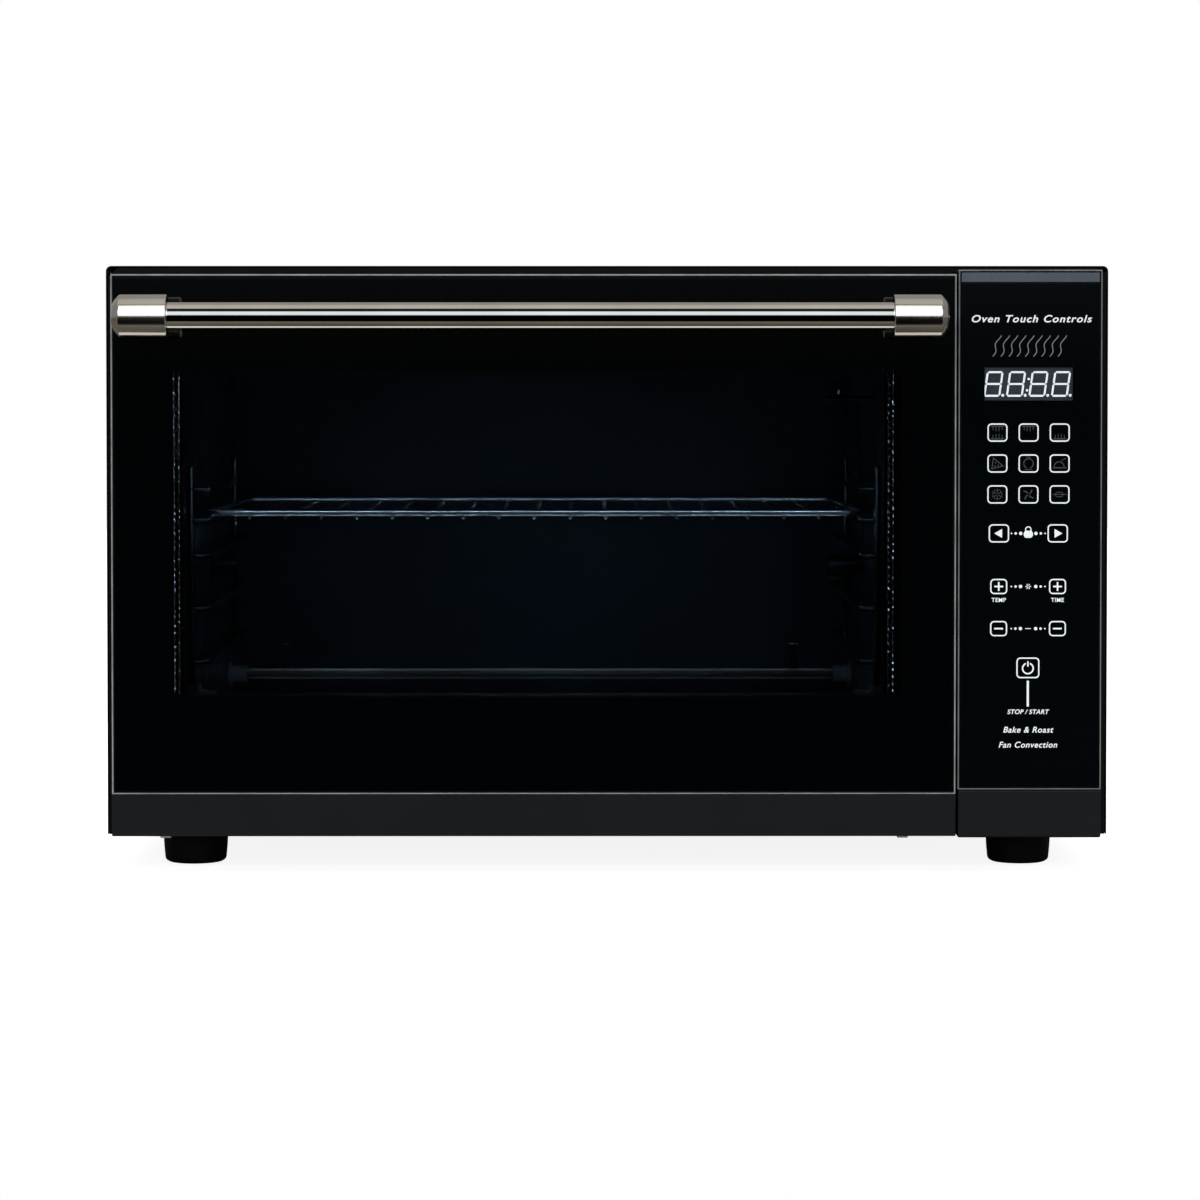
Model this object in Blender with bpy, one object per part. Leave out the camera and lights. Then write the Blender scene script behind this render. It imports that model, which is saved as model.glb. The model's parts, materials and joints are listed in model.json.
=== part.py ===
"""Countertop convection oven: a drop-down glass door beside a touch panel, in metres.

X runs across the front, Y from the door to the back and Z up. The origin is on the worktop,
under the centre of the oven's bounding box.
"""

import math

import bmesh
import bpy
from mathutils import Vector

# Overall sizes
BODY_WIDTH = 0.572
BODY_HEIGHT = 0.344
CABINET_DEPTH = 0.370
SHEET = 0.0008  # cover, base, rear cover and front frame
LINER_SHEET = 0.0006
FIT = 0.0003  # gap between two pieces that seat on each other
FLANGE = 0.010  # turned edge of the sheet pieces
COVER_CORNER = 0.003

# Feet and rear spacers
FOOT_HEIGHT = 0.019
FOOT_RADIUS = 0.0188
FOOT_EDGE_X = 0.0475  # cover's side to a foot's centre
FOOT_FRONT_Y = 0.030
FOOT_REAR_Y = 0.045
SPACER_LENGTH = 0.012
SPACER_RADIUS = 0.012

# Door and its hinge
DOOR_THICKNESS = 0.024
DOOR_GAP = 0.005  # front frame to the door's back
DOOR_SIDE_REVEAL = 0.006
DOOR_TOP_REVEAL = 0.0055
DOOR_BOTTOM = 0.0211
DOOR_RAIL_HEIGHT = 0.0234
DOOR_WALL = 0.0016
GLASS_LEDGE = 0.009
FACE_GLASS = 0.004
INNER_GLASS = 0.003
INNER_SKIRT = 0.012
WINDOW_MARGIN = 0.0030  # gasket to the edge of the inner glass
GLASS_SHELF = 0.0025
RAIL_WALL = 0.002
HINGE_INSET = 0.009  # the axis from the door's back and from its bottom edge
HINGE_FROM_DOOR_EDGE = 0.0289
PIN_RADIUS = 0.0025
EAR_WIDTH = 0.006
EAR_CLEARANCE = 0.0014  # ear's end to the rail's front wall
EAR_ROUND_FROM = 50  # degrees above the ear's neck
EAR_NECK_BELOW = 0.007
EAR_NECK_ABOVE = 0.008
LUG_WALL = 0.0025
LUG_REACH = 0.0044  # outer side of a lug to the end of its bore
BRACKET_HALF_WIDTH = 0.012
BRACKET_LOW = 0.0025  # above the base
BRACKET_HIGH = 0.015  # above the hinge's axis
SPRING_WIRE = 0.0008
SPRING_TURNS = 2.5
SPRING_PITCH = 0.0021

# Handle
BAR_RADIUS = 0.0075
BAR_WALL = 0.0012
CAP_RADIUS = 0.0118
CAP_LENGTH = 0.0306
CAP_ROUND = 0.0045
HANDLE_REACH = 0.036  # glass to the bar's centre
HANDLE_LEFT_EDGE = 0.0054  # door's left edge to the handle's end
HANDLE_RIGHT_EDGE = 0.0077
HANDLE_FROM_TOP = 0.0240
BAR_SOCKET = 0.010
NECK_RADIUS = 0.007
NECK_FROM_MOUTH = 0.0175
SCREW_RADIUS = 0.002
SCREW_HEAD = 0.005
SCREW_BITE = 0.010
SCREW_HEAD_HEIGHT = 0.003
SCREW_HOLE_EASE = 0.001

# Control panel
PANEL_WIDTH = 0.081
PANEL_GAP = 0.0012
PANEL_SIDE_REVEAL = 0.007
PANEL_TOP_REVEAL = 0.003
PANEL_BOTTOM = 0.0202
PANEL_RAIL_HEIGHT = 0.0269
PANEL_WALL = 0.0012
PANEL_LEDGE = 0.004
STRIP_HEIGHT = 0.0056
TOUCH_GLASS = 0.003
DISPLAY_WIDTH = 0.0503
DISPLAY_HEIGHT = 0.019
DISPLAY_DEPTH = 0.008
DISPLAY_FROM_TOP = 0.0643
KEYS_SHIFT = 0.0010  # panel's centre to the middle of its display and keys, to the left
BOARD = 0.0016
BOARD_MARGIN = 0.030
TOUCH_ROWS = 6
TOUCH_ROW_PITCH = 0.0225
TOUCH_COLUMN_PITCH = 0.0175
TOUCH_PAD = 0.003
WIRING_SIDE = 0.012
WIRING_LOW = 0.020
WIRING_HIGH = 0.030

# Cavity and what is in it
CAVITY_LEFT_INSET = 0.038  # door's left edge to the cavity's wall
CAVITY_RIGHT_INSET = 0.0388
CAVITY_FLOOR = 0.064
CAVITY_TOP_INSET = 0.036
CAVITY_DEPTH = 0.325
LINER_FLANGE = 0.007
GASKET_RADIUS = 0.0022
GASKET_OUTSET = 0.0035
WIRE_RADIUS = 0.002
RUNG_REACH = 0.0144  # wall to a rung's inner side
RUNG_LEVELS = (0.0526, 0.0832, 0.1136, 0.1341, 0.1520)  # above the cavity's floor
RACK_RUNG = 3  # the rung that the rack lies on
LADDER_FRONT = 0.022
LADDER_REAR_INSET = 0.028
LADDER_OVERHANG = 0.014
RUNG_CORNER = 0.005
RACK_ROD = 0.0016
RACK_WIRE = 0.0013
RACK_PITCH = 0.0206
RACK_SIDE_MARGIN = 0.022
RACK_FRONT = 0.030
RACK_REAR_INSET = 0.025
RACK_EDGE_ON_RUNG = 0.0108  # wall to the rack's side rod
RACK_CORNER = 0.010
WELD_SINK = 0.0005
TRAY_HEIGHT = 0.008
TRAY_INSET = 0.003
TRAY_FRONT = 0.008
HEATER_RADIUS = 0.0033
HEATER_FRONT = 0.075
HEATER_REAR_INSET = 0.050
HEATER_LOW = 0.0263  # above the floor
HEATER_HIGH = 0.015  # below the ceiling
CERAMIC_RADIUS = 0.0055
CERAMIC_FLANGE = 0.008
CERAMIC_REACH = 0.012
CERAMIC_OUTSIDE = 0.009
CERAMIC_FLANGE_WIDTH = 0.0022
CLIP_SPACING = 0.163  # cavity's middle to a clip
CLIP_WIDTH = 0.0060
CLIP_HEIGHT = 0.0200
CLIP_FOOT = 0.0040
CLIPPED_HEATER = "lower_rear_heater"
TERMINAL_RADIUS = 0.0015
TERMINAL_REACH = 0.020

# Fan, spit drive, lamp and probe, on the cavity's right wall
FAN_REAR_INSET = 0.085
FAN_FROM_CEILING = 0.088
FAN_HOLE = 0.042
FAN_FLANGE_LAP = 0.006
FAN_DISH_DEPTH = 0.024
FAN_BLADE_CLEARANCE = 0.005
FAN_BLADE_DEPTH = 0.014
FAN_BLADES = 8
BLADE_FROM_DISH = 0.006
BLADE_INNER_RADIUS = 0.012
HUB_RADIUS = 0.007
GRILLE_ROWS = 3  # each side of the middle one
GRILLE_PITCH = 0.0095
GRILLE_SLOT = 0.0036
GRILLE_RIB = 0.003
GRILLE_MARGIN = 0.004
COOLING_RADIUS = 0.028
COOLING_DEPTH = 0.008
COOLING_BLADES = 6
COOLING_FROM_DISH = 0.004
MOTOR_FROM_COOLING = 0.012
SHAFT_RADIUS = 0.003
MOTOR_HALF = 0.027
MOTOR_DEPTH = 0.030
COIL_HALF = 0.015
COIL_DROP = 0.012
COIL_PROUD = 0.003
POST_RADIUS = 0.003
POST_INSET = 0.004
SPIT_DEPTH = 0.170
SPIT_HEIGHT = 0.1017  # above the floor
SPIT_CUP_RADIUS = 0.0068
SPIT_CUP_REACH = 0.0226
SPIT_REST_REACH = 0.0156
SPIT_SOCKET = 0.0038
SPIT_SHAFT = 0.004
SPIT_MOTOR_RADIUS = 0.025
SPIT_MOTOR_DEPTH = 0.022
SPIT_SHAFT_BITE = 0.010
SPIT_PLATE_LAP = 0.004
SPIT_SOCKET_DEPTH = 0.014
SPIT_REST_DEPTH = 0.011
LAMP_REAR_INSET = 0.027
LAMP_FROM_CEILING = 0.040
LENS_RADIUS = 0.0135
LENS_REACH = 0.0125
LENS_WALL = 0.0013
HOLDER_RADIUS = 0.010
HOLDER_DEPTH = 0.028
PROBE_DEPTH = 0.060
PROBE_RADIUS = 0.002
PROBE_REACH = 0.030
PROBE_FLANGE = 0.005
PROBE_TAIL = 0.008
CUTOUT_FROM_LEFT = 0.25
CUTOUT_RADIUS = 0.009
CUTOUT_HEIGHT = 0.010

# Power supply, on the base behind the panel
SUPPLY_LEFT_GAP = 0.018
SUPPLY_RIGHT_GAP = 0.008
SUPPLY_FRONT = 0.050
SUPPLY_DEPTH = 0.120
STANDOFF = 0.008
STANDOFF_RADIUS = 0.003
STANDOFF_INSET = 0.005
RELAYS = 3
RELAY_SIDE = 0.016
RELAY_PITCH = 0.022
CORE_WIDTH = 0.040
CORE_DEPTH = 0.035
CORE_HEIGHT = 0.030
COIL_MARGIN = 0.008

# Cord outlet and vents
GLAND_BORE = 0.0042
GLAND_NECK = 0.0075
GLAND_FLANGE = 0.010
GLAND_X_INSET = 0.050
GLAND_Z = 0.050
GLAND_INSIDE = 0.004
GLAND_STEP = 0.003
GLAND_OUTSIDE = 0.006
SLOT_WIDTH = 0.003
SLOT_LENGTH = 0.036
SLOT_PITCH = 0.009
SIDE_SLOTS = 7
REAR_SLOTS = 9
BASE_SLOTS = 6
SIDE_VENT_INSET = 0.075  # rear to the middle of the side vents
SIDE_VENT_DROP = 0.040
REAR_VENT_DROP = 0.060
BASE_VENT_INSET = 0.090

# Places worked out from the sizes above
OVERALL_DEPTH = CAP_RADIUS + HANDLE_REACH + DOOR_THICKNESS + DOOR_GAP + CABINET_DEPTH + SPACER_LENGTH
FRONT = -OVERALL_DEPTH / 2 + CAP_RADIUS + HANDLE_REACH + DOOR_THICKNESS + DOOR_GAP
REAR = FRONT + CABINET_DEPTH
DOOR_BACK = FRONT - DOOR_GAP
DOOR_FACE = DOOR_BACK - DOOR_THICKNESS
HALF_WIDTH = BODY_WIDTH / 2
INSIDE = HALF_WIDTH - SHEET - FIT  # half width of what the cover wraps
INSIDE_TOP = BODY_HEIGHT - SHEET - FIT

DOOR_LEFT = -HALF_WIDTH + DOOR_SIDE_REVEAL
PANEL_RIGHT = HALF_WIDTH - PANEL_SIDE_REVEAL
PANEL_LEFT = PANEL_RIGHT - PANEL_WIDTH
DOOR_RIGHT = PANEL_LEFT - PANEL_GAP
DOOR_TOP = BODY_HEIGHT - DOOR_TOP_REVEAL
DOOR_RAIL_TOP = DOOR_BOTTOM + DOOR_RAIL_HEIGHT
PANEL_TOP = BODY_HEIGHT - PANEL_TOP_REVEAL
PANEL_RAIL_TOP = PANEL_BOTTOM + PANEL_RAIL_HEIGHT
PANEL_CENTRE = (PANEL_LEFT + PANEL_RIGHT) / 2
KEYS_CENTRE = PANEL_CENTRE - KEYS_SHIFT

CAVITY_LEFT = DOOR_LEFT + CAVITY_LEFT_INSET
CAVITY_RIGHT = DOOR_RIGHT - CAVITY_RIGHT_INSET
CAVITY_TOP = BODY_HEIGHT - CAVITY_TOP_INSET
CAVITY_REAR = FRONT + CAVITY_DEPTH
CAVITY = (CAVITY_LEFT, CAVITY_RIGHT, CAVITY_FLOOR, CAVITY_TOP)
WALL_OUTSIDE = CAVITY_RIGHT + LINER_SHEET

HINGE_Y = DOOR_BACK - HINGE_INSET
HINGE_Z = DOOR_BOTTOM + HINGE_INSET
HINGES = {"left": (DOOR_LEFT + HINGE_FROM_DOOR_EDGE, 1), "right": (DOOR_RIGHT - HINGE_FROM_DOOR_EDGE, -1)}
PIN_BORE = PIN_RADIUS + FIT
EAR_RADIUS = DOOR_THICKNESS - HINGE_INSET - RAIL_WALL - EAR_CLEARANCE

HANDLE_Y = DOOR_FACE - HANDLE_REACH
HANDLE_Z = DOOR_TOP - HANDLE_FROM_TOP
HANDLE_LEFT = DOOR_LEFT + HANDLE_LEFT_EDGE
HANDLE_RIGHT = DOOR_RIGHT - HANDLE_RIGHT_EDGE
NECKS = {
    "left": HANDLE_LEFT + CAP_LENGTH - NECK_FROM_MOUTH,
    "right": HANDLE_RIGHT - CAP_LENGTH + NECK_FROM_MOUTH,
}

RACK_Z = CAVITY_FLOOR + RUNG_LEVELS[RACK_RUNG] + WIRE_RADIUS + FIT + RACK_ROD
FAN_Y = CAVITY_REAR - FAN_REAR_INSET
FAN_Z = CAVITY_TOP - FAN_FROM_CEILING
FAN_FLANGE = FAN_HOLE + FAN_FLANGE_LAP
FAN_BLADE_RADIUS = FAN_HOLE - FAN_BLADE_CLEARANCE
SPIT_Y = FRONT + SPIT_DEPTH
SPIT_Z = CAVITY_FLOOR + SPIT_HEIGHT
LAMP_Y = CAVITY_REAR - LAMP_REAR_INSET
LAMP_Z = CAVITY_TOP - LAMP_FROM_CEILING
PROBE_Y = FRONT + PROBE_DEPTH
HEATERS = {
    "lower_front_heater": (FRONT + HEATER_FRONT, CAVITY_FLOOR + HEATER_LOW),
    "lower_rear_heater": (CAVITY_REAR - HEATER_REAR_INSET, CAVITY_FLOOR + HEATER_LOW),
    "upper_front_heater": (FRONT + HEATER_FRONT, CAVITY_TOP - HEATER_HIGH),
    "upper_rear_heater": (CAVITY_REAR - HEATER_REAR_INSET, CAVITY_TOP - HEATER_HIGH),
}
GLAND_X = HALF_WIDTH - GLAND_X_INSET

# Base colour, roughness and metallic value of each finish
FINISHES = {
    "black_enamel": ((0.012, 0.012, 0.013), 0.35, 0.2),
    "satin_black": ((0.022, 0.023, 0.026), 0.5, 0.0),
    "black_glass": ((0.004, 0.004, 0.005), 0.05, 0.0),
    "clear_glass": ((0.60, 0.64, 0.66), 0.03, 0.0),
    "polished_steel": ((0.75, 0.74, 0.72), 0.16, 1.0),
    "dark_aluminium": ((0.16, 0.17, 0.20), 0.35, 0.8),
    "galvanised_steel": ((0.40, 0.41, 0.42), 0.4, 0.9),
    "grey_enamel": ((0.10, 0.11, 0.12), 0.3, 0.0),
    "chrome_wire": ((0.70, 0.71, 0.73), 0.18, 1.0),
    "heater_sheath": ((0.20, 0.20, 0.20), 0.4, 0.8),
    "rubber": ((0.012, 0.012, 0.012), 0.8, 0.0),
    "glass_fibre": ((0.30, 0.30, 0.29), 0.9, 0.0),
    "circuit_board": ((0.02, 0.12, 0.05), 0.5, 0.0),
    "display": ((0.12, 0.13, 0.14), 0.3, 0.0),
    "motor_steel": ((0.30, 0.30, 0.31), 0.45, 0.8),
    "ceramic": ((0.75, 0.73, 0.68), 0.6, 0.0),
}


def clear_scene():
    for old in list(bpy.data.objects):
        bpy.data.objects.remove(old)


def finish(name):
    """The Principled material of that name, made on first use."""
    found = bpy.data.materials.get(name)
    if found:
        return found
    colour, roughness, metallic = FINISHES[name]
    made = bpy.data.materials.new(name)
    made.use_nodes = True
    shader = made.node_tree.nodes["Principled BSDF"]
    shader.inputs["Base Color"].default_value = (*colour, 1)
    shader.inputs["Roughness"].default_value = roughness
    shader.inputs["Metallic"].default_value = metallic
    return made


def add_loft(bm, loops, ring=False):
    """Skins loops of equal length in order; the two ends are capped, or joined for a ring."""
    rows = [[bm.verts.new(point) for point in loop] for loop in loops]
    pairs = list(zip(rows, rows[1:]))
    if ring:
        pairs.append((rows[-1], rows[0]))
    else:
        bm.faces.new(rows[0])
        bm.faces.new(rows[-1])
    for first, second in pairs:
        for i in range(len(first)):
            j = (i + 1) % len(first)
            bm.faces.new((first[i], first[j], second[j], second[i]))


def made_object(name, bm, finish_name):
    bmesh.ops.recalc_face_normals(bm, faces=bm.faces)
    mesh = bpy.data.meshes.new(name)
    bm.to_mesh(mesh)
    bm.free()
    mesh.shade_smooth()
    mesh.set_sharp_from_angle(angle=math.radians(30))
    obj = bpy.data.objects.new(name, mesh)
    bpy.context.scene.collection.objects.link(obj)
    if finish_name:
        mesh.materials.append(finish(finish_name))
    else:
        obj.hide_render = True
        obj.display_type = "WIRE"
    return obj


def loft(name, loops, finish_name, ring=False):
    """One solid through the loops. With no finish it is a hidden cutter."""
    bm = bmesh.new()
    add_loft(bm, loops, ring)
    return made_object(name, bm, finish_name)


def lofts(name, solids, finish_name):
    """Several solids that don't meet each other, in one object, for a Boolean to join or cut."""
    bm = bmesh.new()
    for loops in solids:
        add_loft(bm, loops)
    return made_object(name, bm, finish_name)


def across_y(rect, y):
    """A rectangle (x0, x1, z0, z1) as a loop at y."""
    x0, x1, z0, z1 = rect
    return [(x0, y, z0), (x1, y, z0), (x1, y, z1), (x0, y, z1)]


def across_z(x0, x1, y0, y1, z):
    return [(x0, y0, z), (x1, y0, z), (x1, y1, z), (x0, y1, z)]


def block(x, y, z):
    """The two loops of a box given by its (low, high) along each axis."""
    return [across_y((*x, *z), y[0]), across_y((*x, *z), y[1])]


def grown(rect, by):
    return (rect[0] - by, rect[1] + by, rect[2] - by, rect[3] + by)


def circle(centre, radius, axis, sides, phase=0.0):
    """A loop of points round an axis: 0 for X, 1 for Y, 2 for Z."""
    first, second = [(1, 2), (2, 0), (0, 1)][axis]
    loop = []
    for i in range(sides):
        angle = phase + math.tau * i / sides
        point = list(centre)
        point[first] += radius * math.cos(angle)
        point[second] += radius * math.sin(angle)
        loop.append(tuple(point))
    return loop


def turned_loops(centre, axis, stations, sides):
    """Loops of a turned piece: stations are (distance along the axis, radius)."""
    loops = []
    for along, radius in stations:
        middle = list(centre)
        middle[axis] += along
        loops.append(circle(middle, radius, axis, sides))
    return loops


def turned(name, centre, axis, stations, finish_name, sides=24, ring=False):
    return loft(name, turned_loops(centre, axis, stations, sides), finish_name, ring)


def tube_loops(points, radius, sides, normal, closed=False):
    """Loops of a round wire along points that lie in the plane with this normal."""
    points = [Vector(p) for p in points]
    normal = Vector(normal)
    count = len(points)
    loops = []
    for i, point in enumerate(points):
        before = point - points[i - 1] if closed or i else points[1] - point
        after = points[(i + 1) % count] - point if closed or i < count - 1 else before
        tangent = (before.normalized() + after.normalized()).normalized()
        stretch = 1 / max(0.3, tangent.dot(before.normalized()))
        side = tangent.cross(normal).normalized()
        loop = []
        for k in range(sides):
            angle = math.tau * (k + 0.5) / sides
            loop.append(point + radius * (math.cos(angle) * stretch * side + math.sin(angle) * normal))
        loops.append(loop)
    return loops


def rounded(points, radius, steps, closed=False):
    """The path with each corner replaced by an arc-like curve of that radius."""
    points = [Vector(p) for p in points]
    path = []
    for i, corner in enumerate(points):
        if not closed and i in (0, len(points) - 1):
            path.append(corner)
            continue
        start = corner + radius * (points[i - 1] - corner).normalized()
        end = corner + radius * (points[(i + 1) % len(points)] - corner).normalized()
        for k in range(steps + 1):
            t = k / steps
            path.append(start * (1 - t) ** 2 + corner * 2 * t * (1 - t) + end * t**2)
    return path


def boolean(obj, other, operation):
    modifier = obj.modifiers.new(other.name, "BOOLEAN")
    modifier.operation = operation
    modifier.object = other
    modifier.solver = "EXACT"


def cut(obj, solids):
    """Cuts the solids, given as lists of loops, from the object."""
    boolean(obj, lofts(obj.name + "_cutter" + str(len(obj.modifiers)), solids, None), "DIFFERENCE")


def join(obj, solids):
    """Joins the solids, which overlap the object but not each other, to it."""
    boolean(obj, lofts(obj.name + "_addition" + str(len(obj.modifiers)), solids, None), "UNION")


def tray(name, rect, wall, back, front, finish_name):
    """A shallow box open at y = front, with its floor at y = back."""
    inner = grown(rect, -wall)
    floor = back + math.copysign(wall, front - back)
    loops = [across_y(rect, back), across_y(rect, front), across_y(inner, front), across_y(inner, floor)]
    return loft(name, loops, finish_name)


def slots_on_x(x, wall, centre_y, z0, count):
    """Upright slots through a side wall."""
    first = centre_y - (count - 1) * SLOT_PITCH / 2
    solids = []
    for i in range(count):
        middle = first + i * SLOT_PITCH
        span = (middle - SLOT_WIDTH / 2, middle + SLOT_WIDTH / 2)
        solids.append(block((x - wall, x + wall), span, (z0, z0 + SLOT_LENGTH)))
    return solids


def slots_on_y(y, wall, centre_x, z0, count):
    """Upright slots through the rear wall."""
    first = centre_x - (count - 1) * SLOT_PITCH / 2
    solids = []
    for i in range(count):
        middle = first + i * SLOT_PITCH
        span = (middle - SLOT_WIDTH / 2, middle + SLOT_WIDTH / 2)
        solids.append(block(span, (y - wall, y + wall), (z0, z0 + SLOT_LENGTH)))
    return solids


def notch_corners(obj, y0, y1):
    """Clears the top corners of a sheet piece for the bend of the cover."""
    solids = []
    for sign in (-1, 1):
        x, z = sign * (INSIDE + FIT), INSIDE_TOP + FIT
        legs = [(x, z), (x - sign * 2 * COVER_CORNER, z), (x, z - 2 * COVER_CORNER)]
        solids.append([[(px, y, pz) for px, pz in legs] for y in (y0, y1)])
    cut(obj, solids)


def cover_outline(half, top, radius, steps=4):
    """Up the left side, over the top with round corners, and down the right side."""
    outline = [(-half, FOOT_HEIGHT)]
    for side, start in ((-1, math.pi), (1, math.pi / 2)):
        for k in range(steps + 1):
            angle = start - k * math.pi / 2 / steps
            x = side * (half - radius) + radius * math.cos(angle)
            outline.append((x, top - radius + radius * math.sin(angle)))
    outline.append((half, FOOT_HEIGHT))
    return outline


def build_cover():
    outer = cover_outline(HALF_WIDTH, BODY_HEIGHT, COVER_CORNER)
    inner = cover_outline(HALF_WIDTH - SHEET, BODY_HEIGHT - SHEET, COVER_CORNER - SHEET)
    outline = outer + inner[::-1]
    loops = [[(x, y, z) for x, z in outline] for y in (FRONT, REAR)]
    cover = loft("outer_cover", loops, "black_enamel")
    row = REAR - SIDE_VENT_INSET
    solids = []
    for x in (-HALF_WIDTH, HALF_WIDTH):
        for z in (CAVITY_FLOOR, BODY_HEIGHT - SLOT_LENGTH - SIDE_VENT_DROP):
            solids += slots_on_x(x, 2 * SHEET, row, z, SIDE_SLOTS)
    cut(cover, solids)


def build_base():
    front = FRONT + FLANGE + FIT
    rear = REAR - FLANGE - FIT
    top = FOOT_HEIGHT + FLANGE
    inner = (-INSIDE + SHEET, INSIDE - SHEET, front + SHEET, rear - SHEET)
    loops = [
        across_z(-INSIDE, INSIDE, front, rear, FOOT_HEIGHT),
        across_z(-INSIDE, INSIDE, front, rear, top),
        across_z(*inner, top),
        across_z(*inner, FOOT_HEIGHT + SHEET),
    ]
    base = loft("base_pan", loops, "galvanised_steel")
    solids = []
    for centre in ((CAVITY_LEFT + CAVITY_RIGHT) / 2, PANEL_CENTRE):
        first = centre - (BASE_SLOTS - 1) * SLOT_PITCH / 2
        for i in range(BASE_SLOTS):
            x = first + i * SLOT_PITCH
            span = (x - SLOT_WIDTH / 2, x + SLOT_WIDTH / 2)
            depth = (rear - BASE_VENT_INSET, rear - BASE_VENT_INSET + SLOT_LENGTH)
            solids.append(block(span, depth, (FOOT_HEIGHT - SHEET, FOOT_HEIGHT + 2 * SHEET)))
    cut(base, solids)
    radii = ((0, -0.0035), (0.0012, -0.0015), (0.004, -0.0004), (FOOT_HEIGHT - FIT, 0.0))
    stations = [(along, FOOT_RADIUS + change) for along, change in radii]
    for side, x in (("left", -HALF_WIDTH + FOOT_EDGE_X), ("right", HALF_WIDTH - FOOT_EDGE_X)):
        for end, y in (("front", FRONT + FOOT_FRONT_Y), ("rear", REAR - FOOT_REAR_Y)):
            turned(f"{end}_{side}_foot", (x, y, 0), 2, stations, "rubber")


def build_rear():
    rect = (-INSIDE, INSIDE, FOOT_HEIGHT, INSIDE_TOP)
    rear = tray("rear_cover", rect, SHEET, REAR, REAR - FLANGE, "black_enamel")
    middle = (CAVITY_LEFT + CAVITY_RIGHT) / 2
    solids = []
    high = CAVITY_TOP - REAR_VENT_DROP
    vents = (
        (PANEL_CENTRE, high, BASE_SLOTS),
        (middle, high, REAR_SLOTS),
        (middle, CAVITY_FLOOR, REAR_SLOTS),
    )
    for x, z, count in vents:
        solids += slots_on_y(REAR, 2 * SHEET, x, z, count)
    hole = ((-2 * SHEET, GLAND_NECK + FIT), (2 * SHEET, GLAND_NECK + FIT))
    solids.append(turned_loops((GLAND_X, REAR, GLAND_Z), 1, hole, 20))
    cut(rear, solids)
    notch_corners(rear, REAR - 2 * FLANGE, REAR + SHEET)
    gland = (
        (-GLAND_INSIDE, GLAND_FLANGE),
        (-SHEET - FIT, GLAND_FLANGE),
        (-SHEET - FIT, GLAND_NECK),
        (FIT, GLAND_NECK),
        (FIT, GLAND_FLANGE),
        (GLAND_STEP, GLAND_FLANGE),
        (GLAND_OUTSIDE, GLAND_NECK),
        (GLAND_OUTSIDE, GLAND_BORE),
        (-GLAND_INSIDE, GLAND_BORE),
    )
    turned("cord_gland", (GLAND_X, REAR, GLAND_Z), 1, gland, "rubber", 20, ring=True)
    spacer = (
        (FIT, SPACER_RADIUS),
        (SPACER_LENGTH - 0.002, SPACER_RADIUS - 0.002),
        (SPACER_LENGTH, SPACER_RADIUS - 0.004),
    )
    for side, sign in (("left", -1), ("right", 1)):
        centre = (sign * (HALF_WIDTH - FOOT_EDGE_X), REAR, BODY_HEIGHT - FOOT_EDGE_X)
        turned(f"rear_{side}_spacer", centre, 1, spacer, "satin_black", 20)


def build_front_frame():
    outer = (-INSIDE, INSIDE, FOOT_HEIGHT, INSIDE_TOP)
    inner = grown(outer, -SHEET)
    loops = [
        across_y(outer, FRONT + FLANGE),
        across_y(outer, FRONT),
        across_y(CAVITY, FRONT),
        across_y(CAVITY, FRONT + SHEET),
        across_y(inner, FRONT + SHEET),
        across_y(inner, FRONT + FLANGE),
    ]
    frame = loft("front_frame", loops, "black_enamel", ring=True)
    depth = (FRONT - SHEET, FRONT + 2 * SHEET)
    width = (PANEL_LEFT + WIRING_SIDE, PANEL_RIGHT - WIRING_SIDE)
    solids = [block(width, depth, (PANEL_RAIL_TOP + WIRING_LOW, PANEL_TOP - WIRING_HIGH))]
    for x, _ in HINGES.values():
        half = EAR_WIDTH / 2 + FIT
        height = (HINGE_Z - EAR_NECK_BELOW - FIT, HINGE_Z + EAR_NECK_ABOVE + FIT)
        solids.append(block((x - half, x + half), depth, height))
    cut(frame, solids)
    notch_corners(frame, FRONT - SHEET, FRONT + 2 * FLANGE)
    path = grown(CAVITY, GASKET_OUTSET)
    middle = FRONT - FIT - GASKET_RADIUS
    loops = []
    for k in range(8):
        angle = math.tau * (k + 0.5) / 8
        ring = grown(path, GASKET_RADIUS * math.cos(angle))
        loops.append(across_y(ring, middle + GASKET_RADIUS * math.sin(angle)))
    loft("door_gasket", loops, "glass_fibre", ring=True)


def build_hinge_brackets():
    """Ears that reach through the front frame to the door's axis, each on a flange inside."""
    seat = FRONT + SHEET + FIT
    for side, (x, _) in HINGES.items():
        neck = HINGE_Y + EAR_NECK_ABOVE
        high, low = HINGE_Z + EAR_NECK_ABOVE, HINGE_Z - EAR_NECK_BELOW
        outline = [(seat + SHEET, high), (neck, high)]
        steps = 12
        for k in range(steps + 1):
            angle = math.radians(EAR_ROUND_FROM + (360 - 2 * EAR_ROUND_FROM) * k / steps)
            outline.append((HINGE_Y + EAR_RADIUS * math.cos(angle), HINGE_Z + EAR_RADIUS * math.sin(angle)))
        outline += [(neck, low), (seat + SHEET, low)]
        loops = [[(x + shift, y, z) for y, z in outline] for shift in (-EAR_WIDTH / 2, EAR_WIDTH / 2)]
        bracket = loft(f"{side}_hinge_bracket", loops, "galvanised_steel")
        width = (x - BRACKET_HALF_WIDTH, x + BRACKET_HALF_WIDTH)
        height = (FOOT_HEIGHT + BRACKET_LOW, HINGE_Z + BRACKET_HIGH)
        join(bracket, [block(width, (seat, seat + 2 * SHEET), height)])
        bore = ((-EAR_WIDTH, PIN_BORE), (EAR_WIDTH, PIN_BORE))
        cut(bracket, [turned_loops((x, HINGE_Y, HINGE_Z), 0, bore, 20)])


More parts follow.
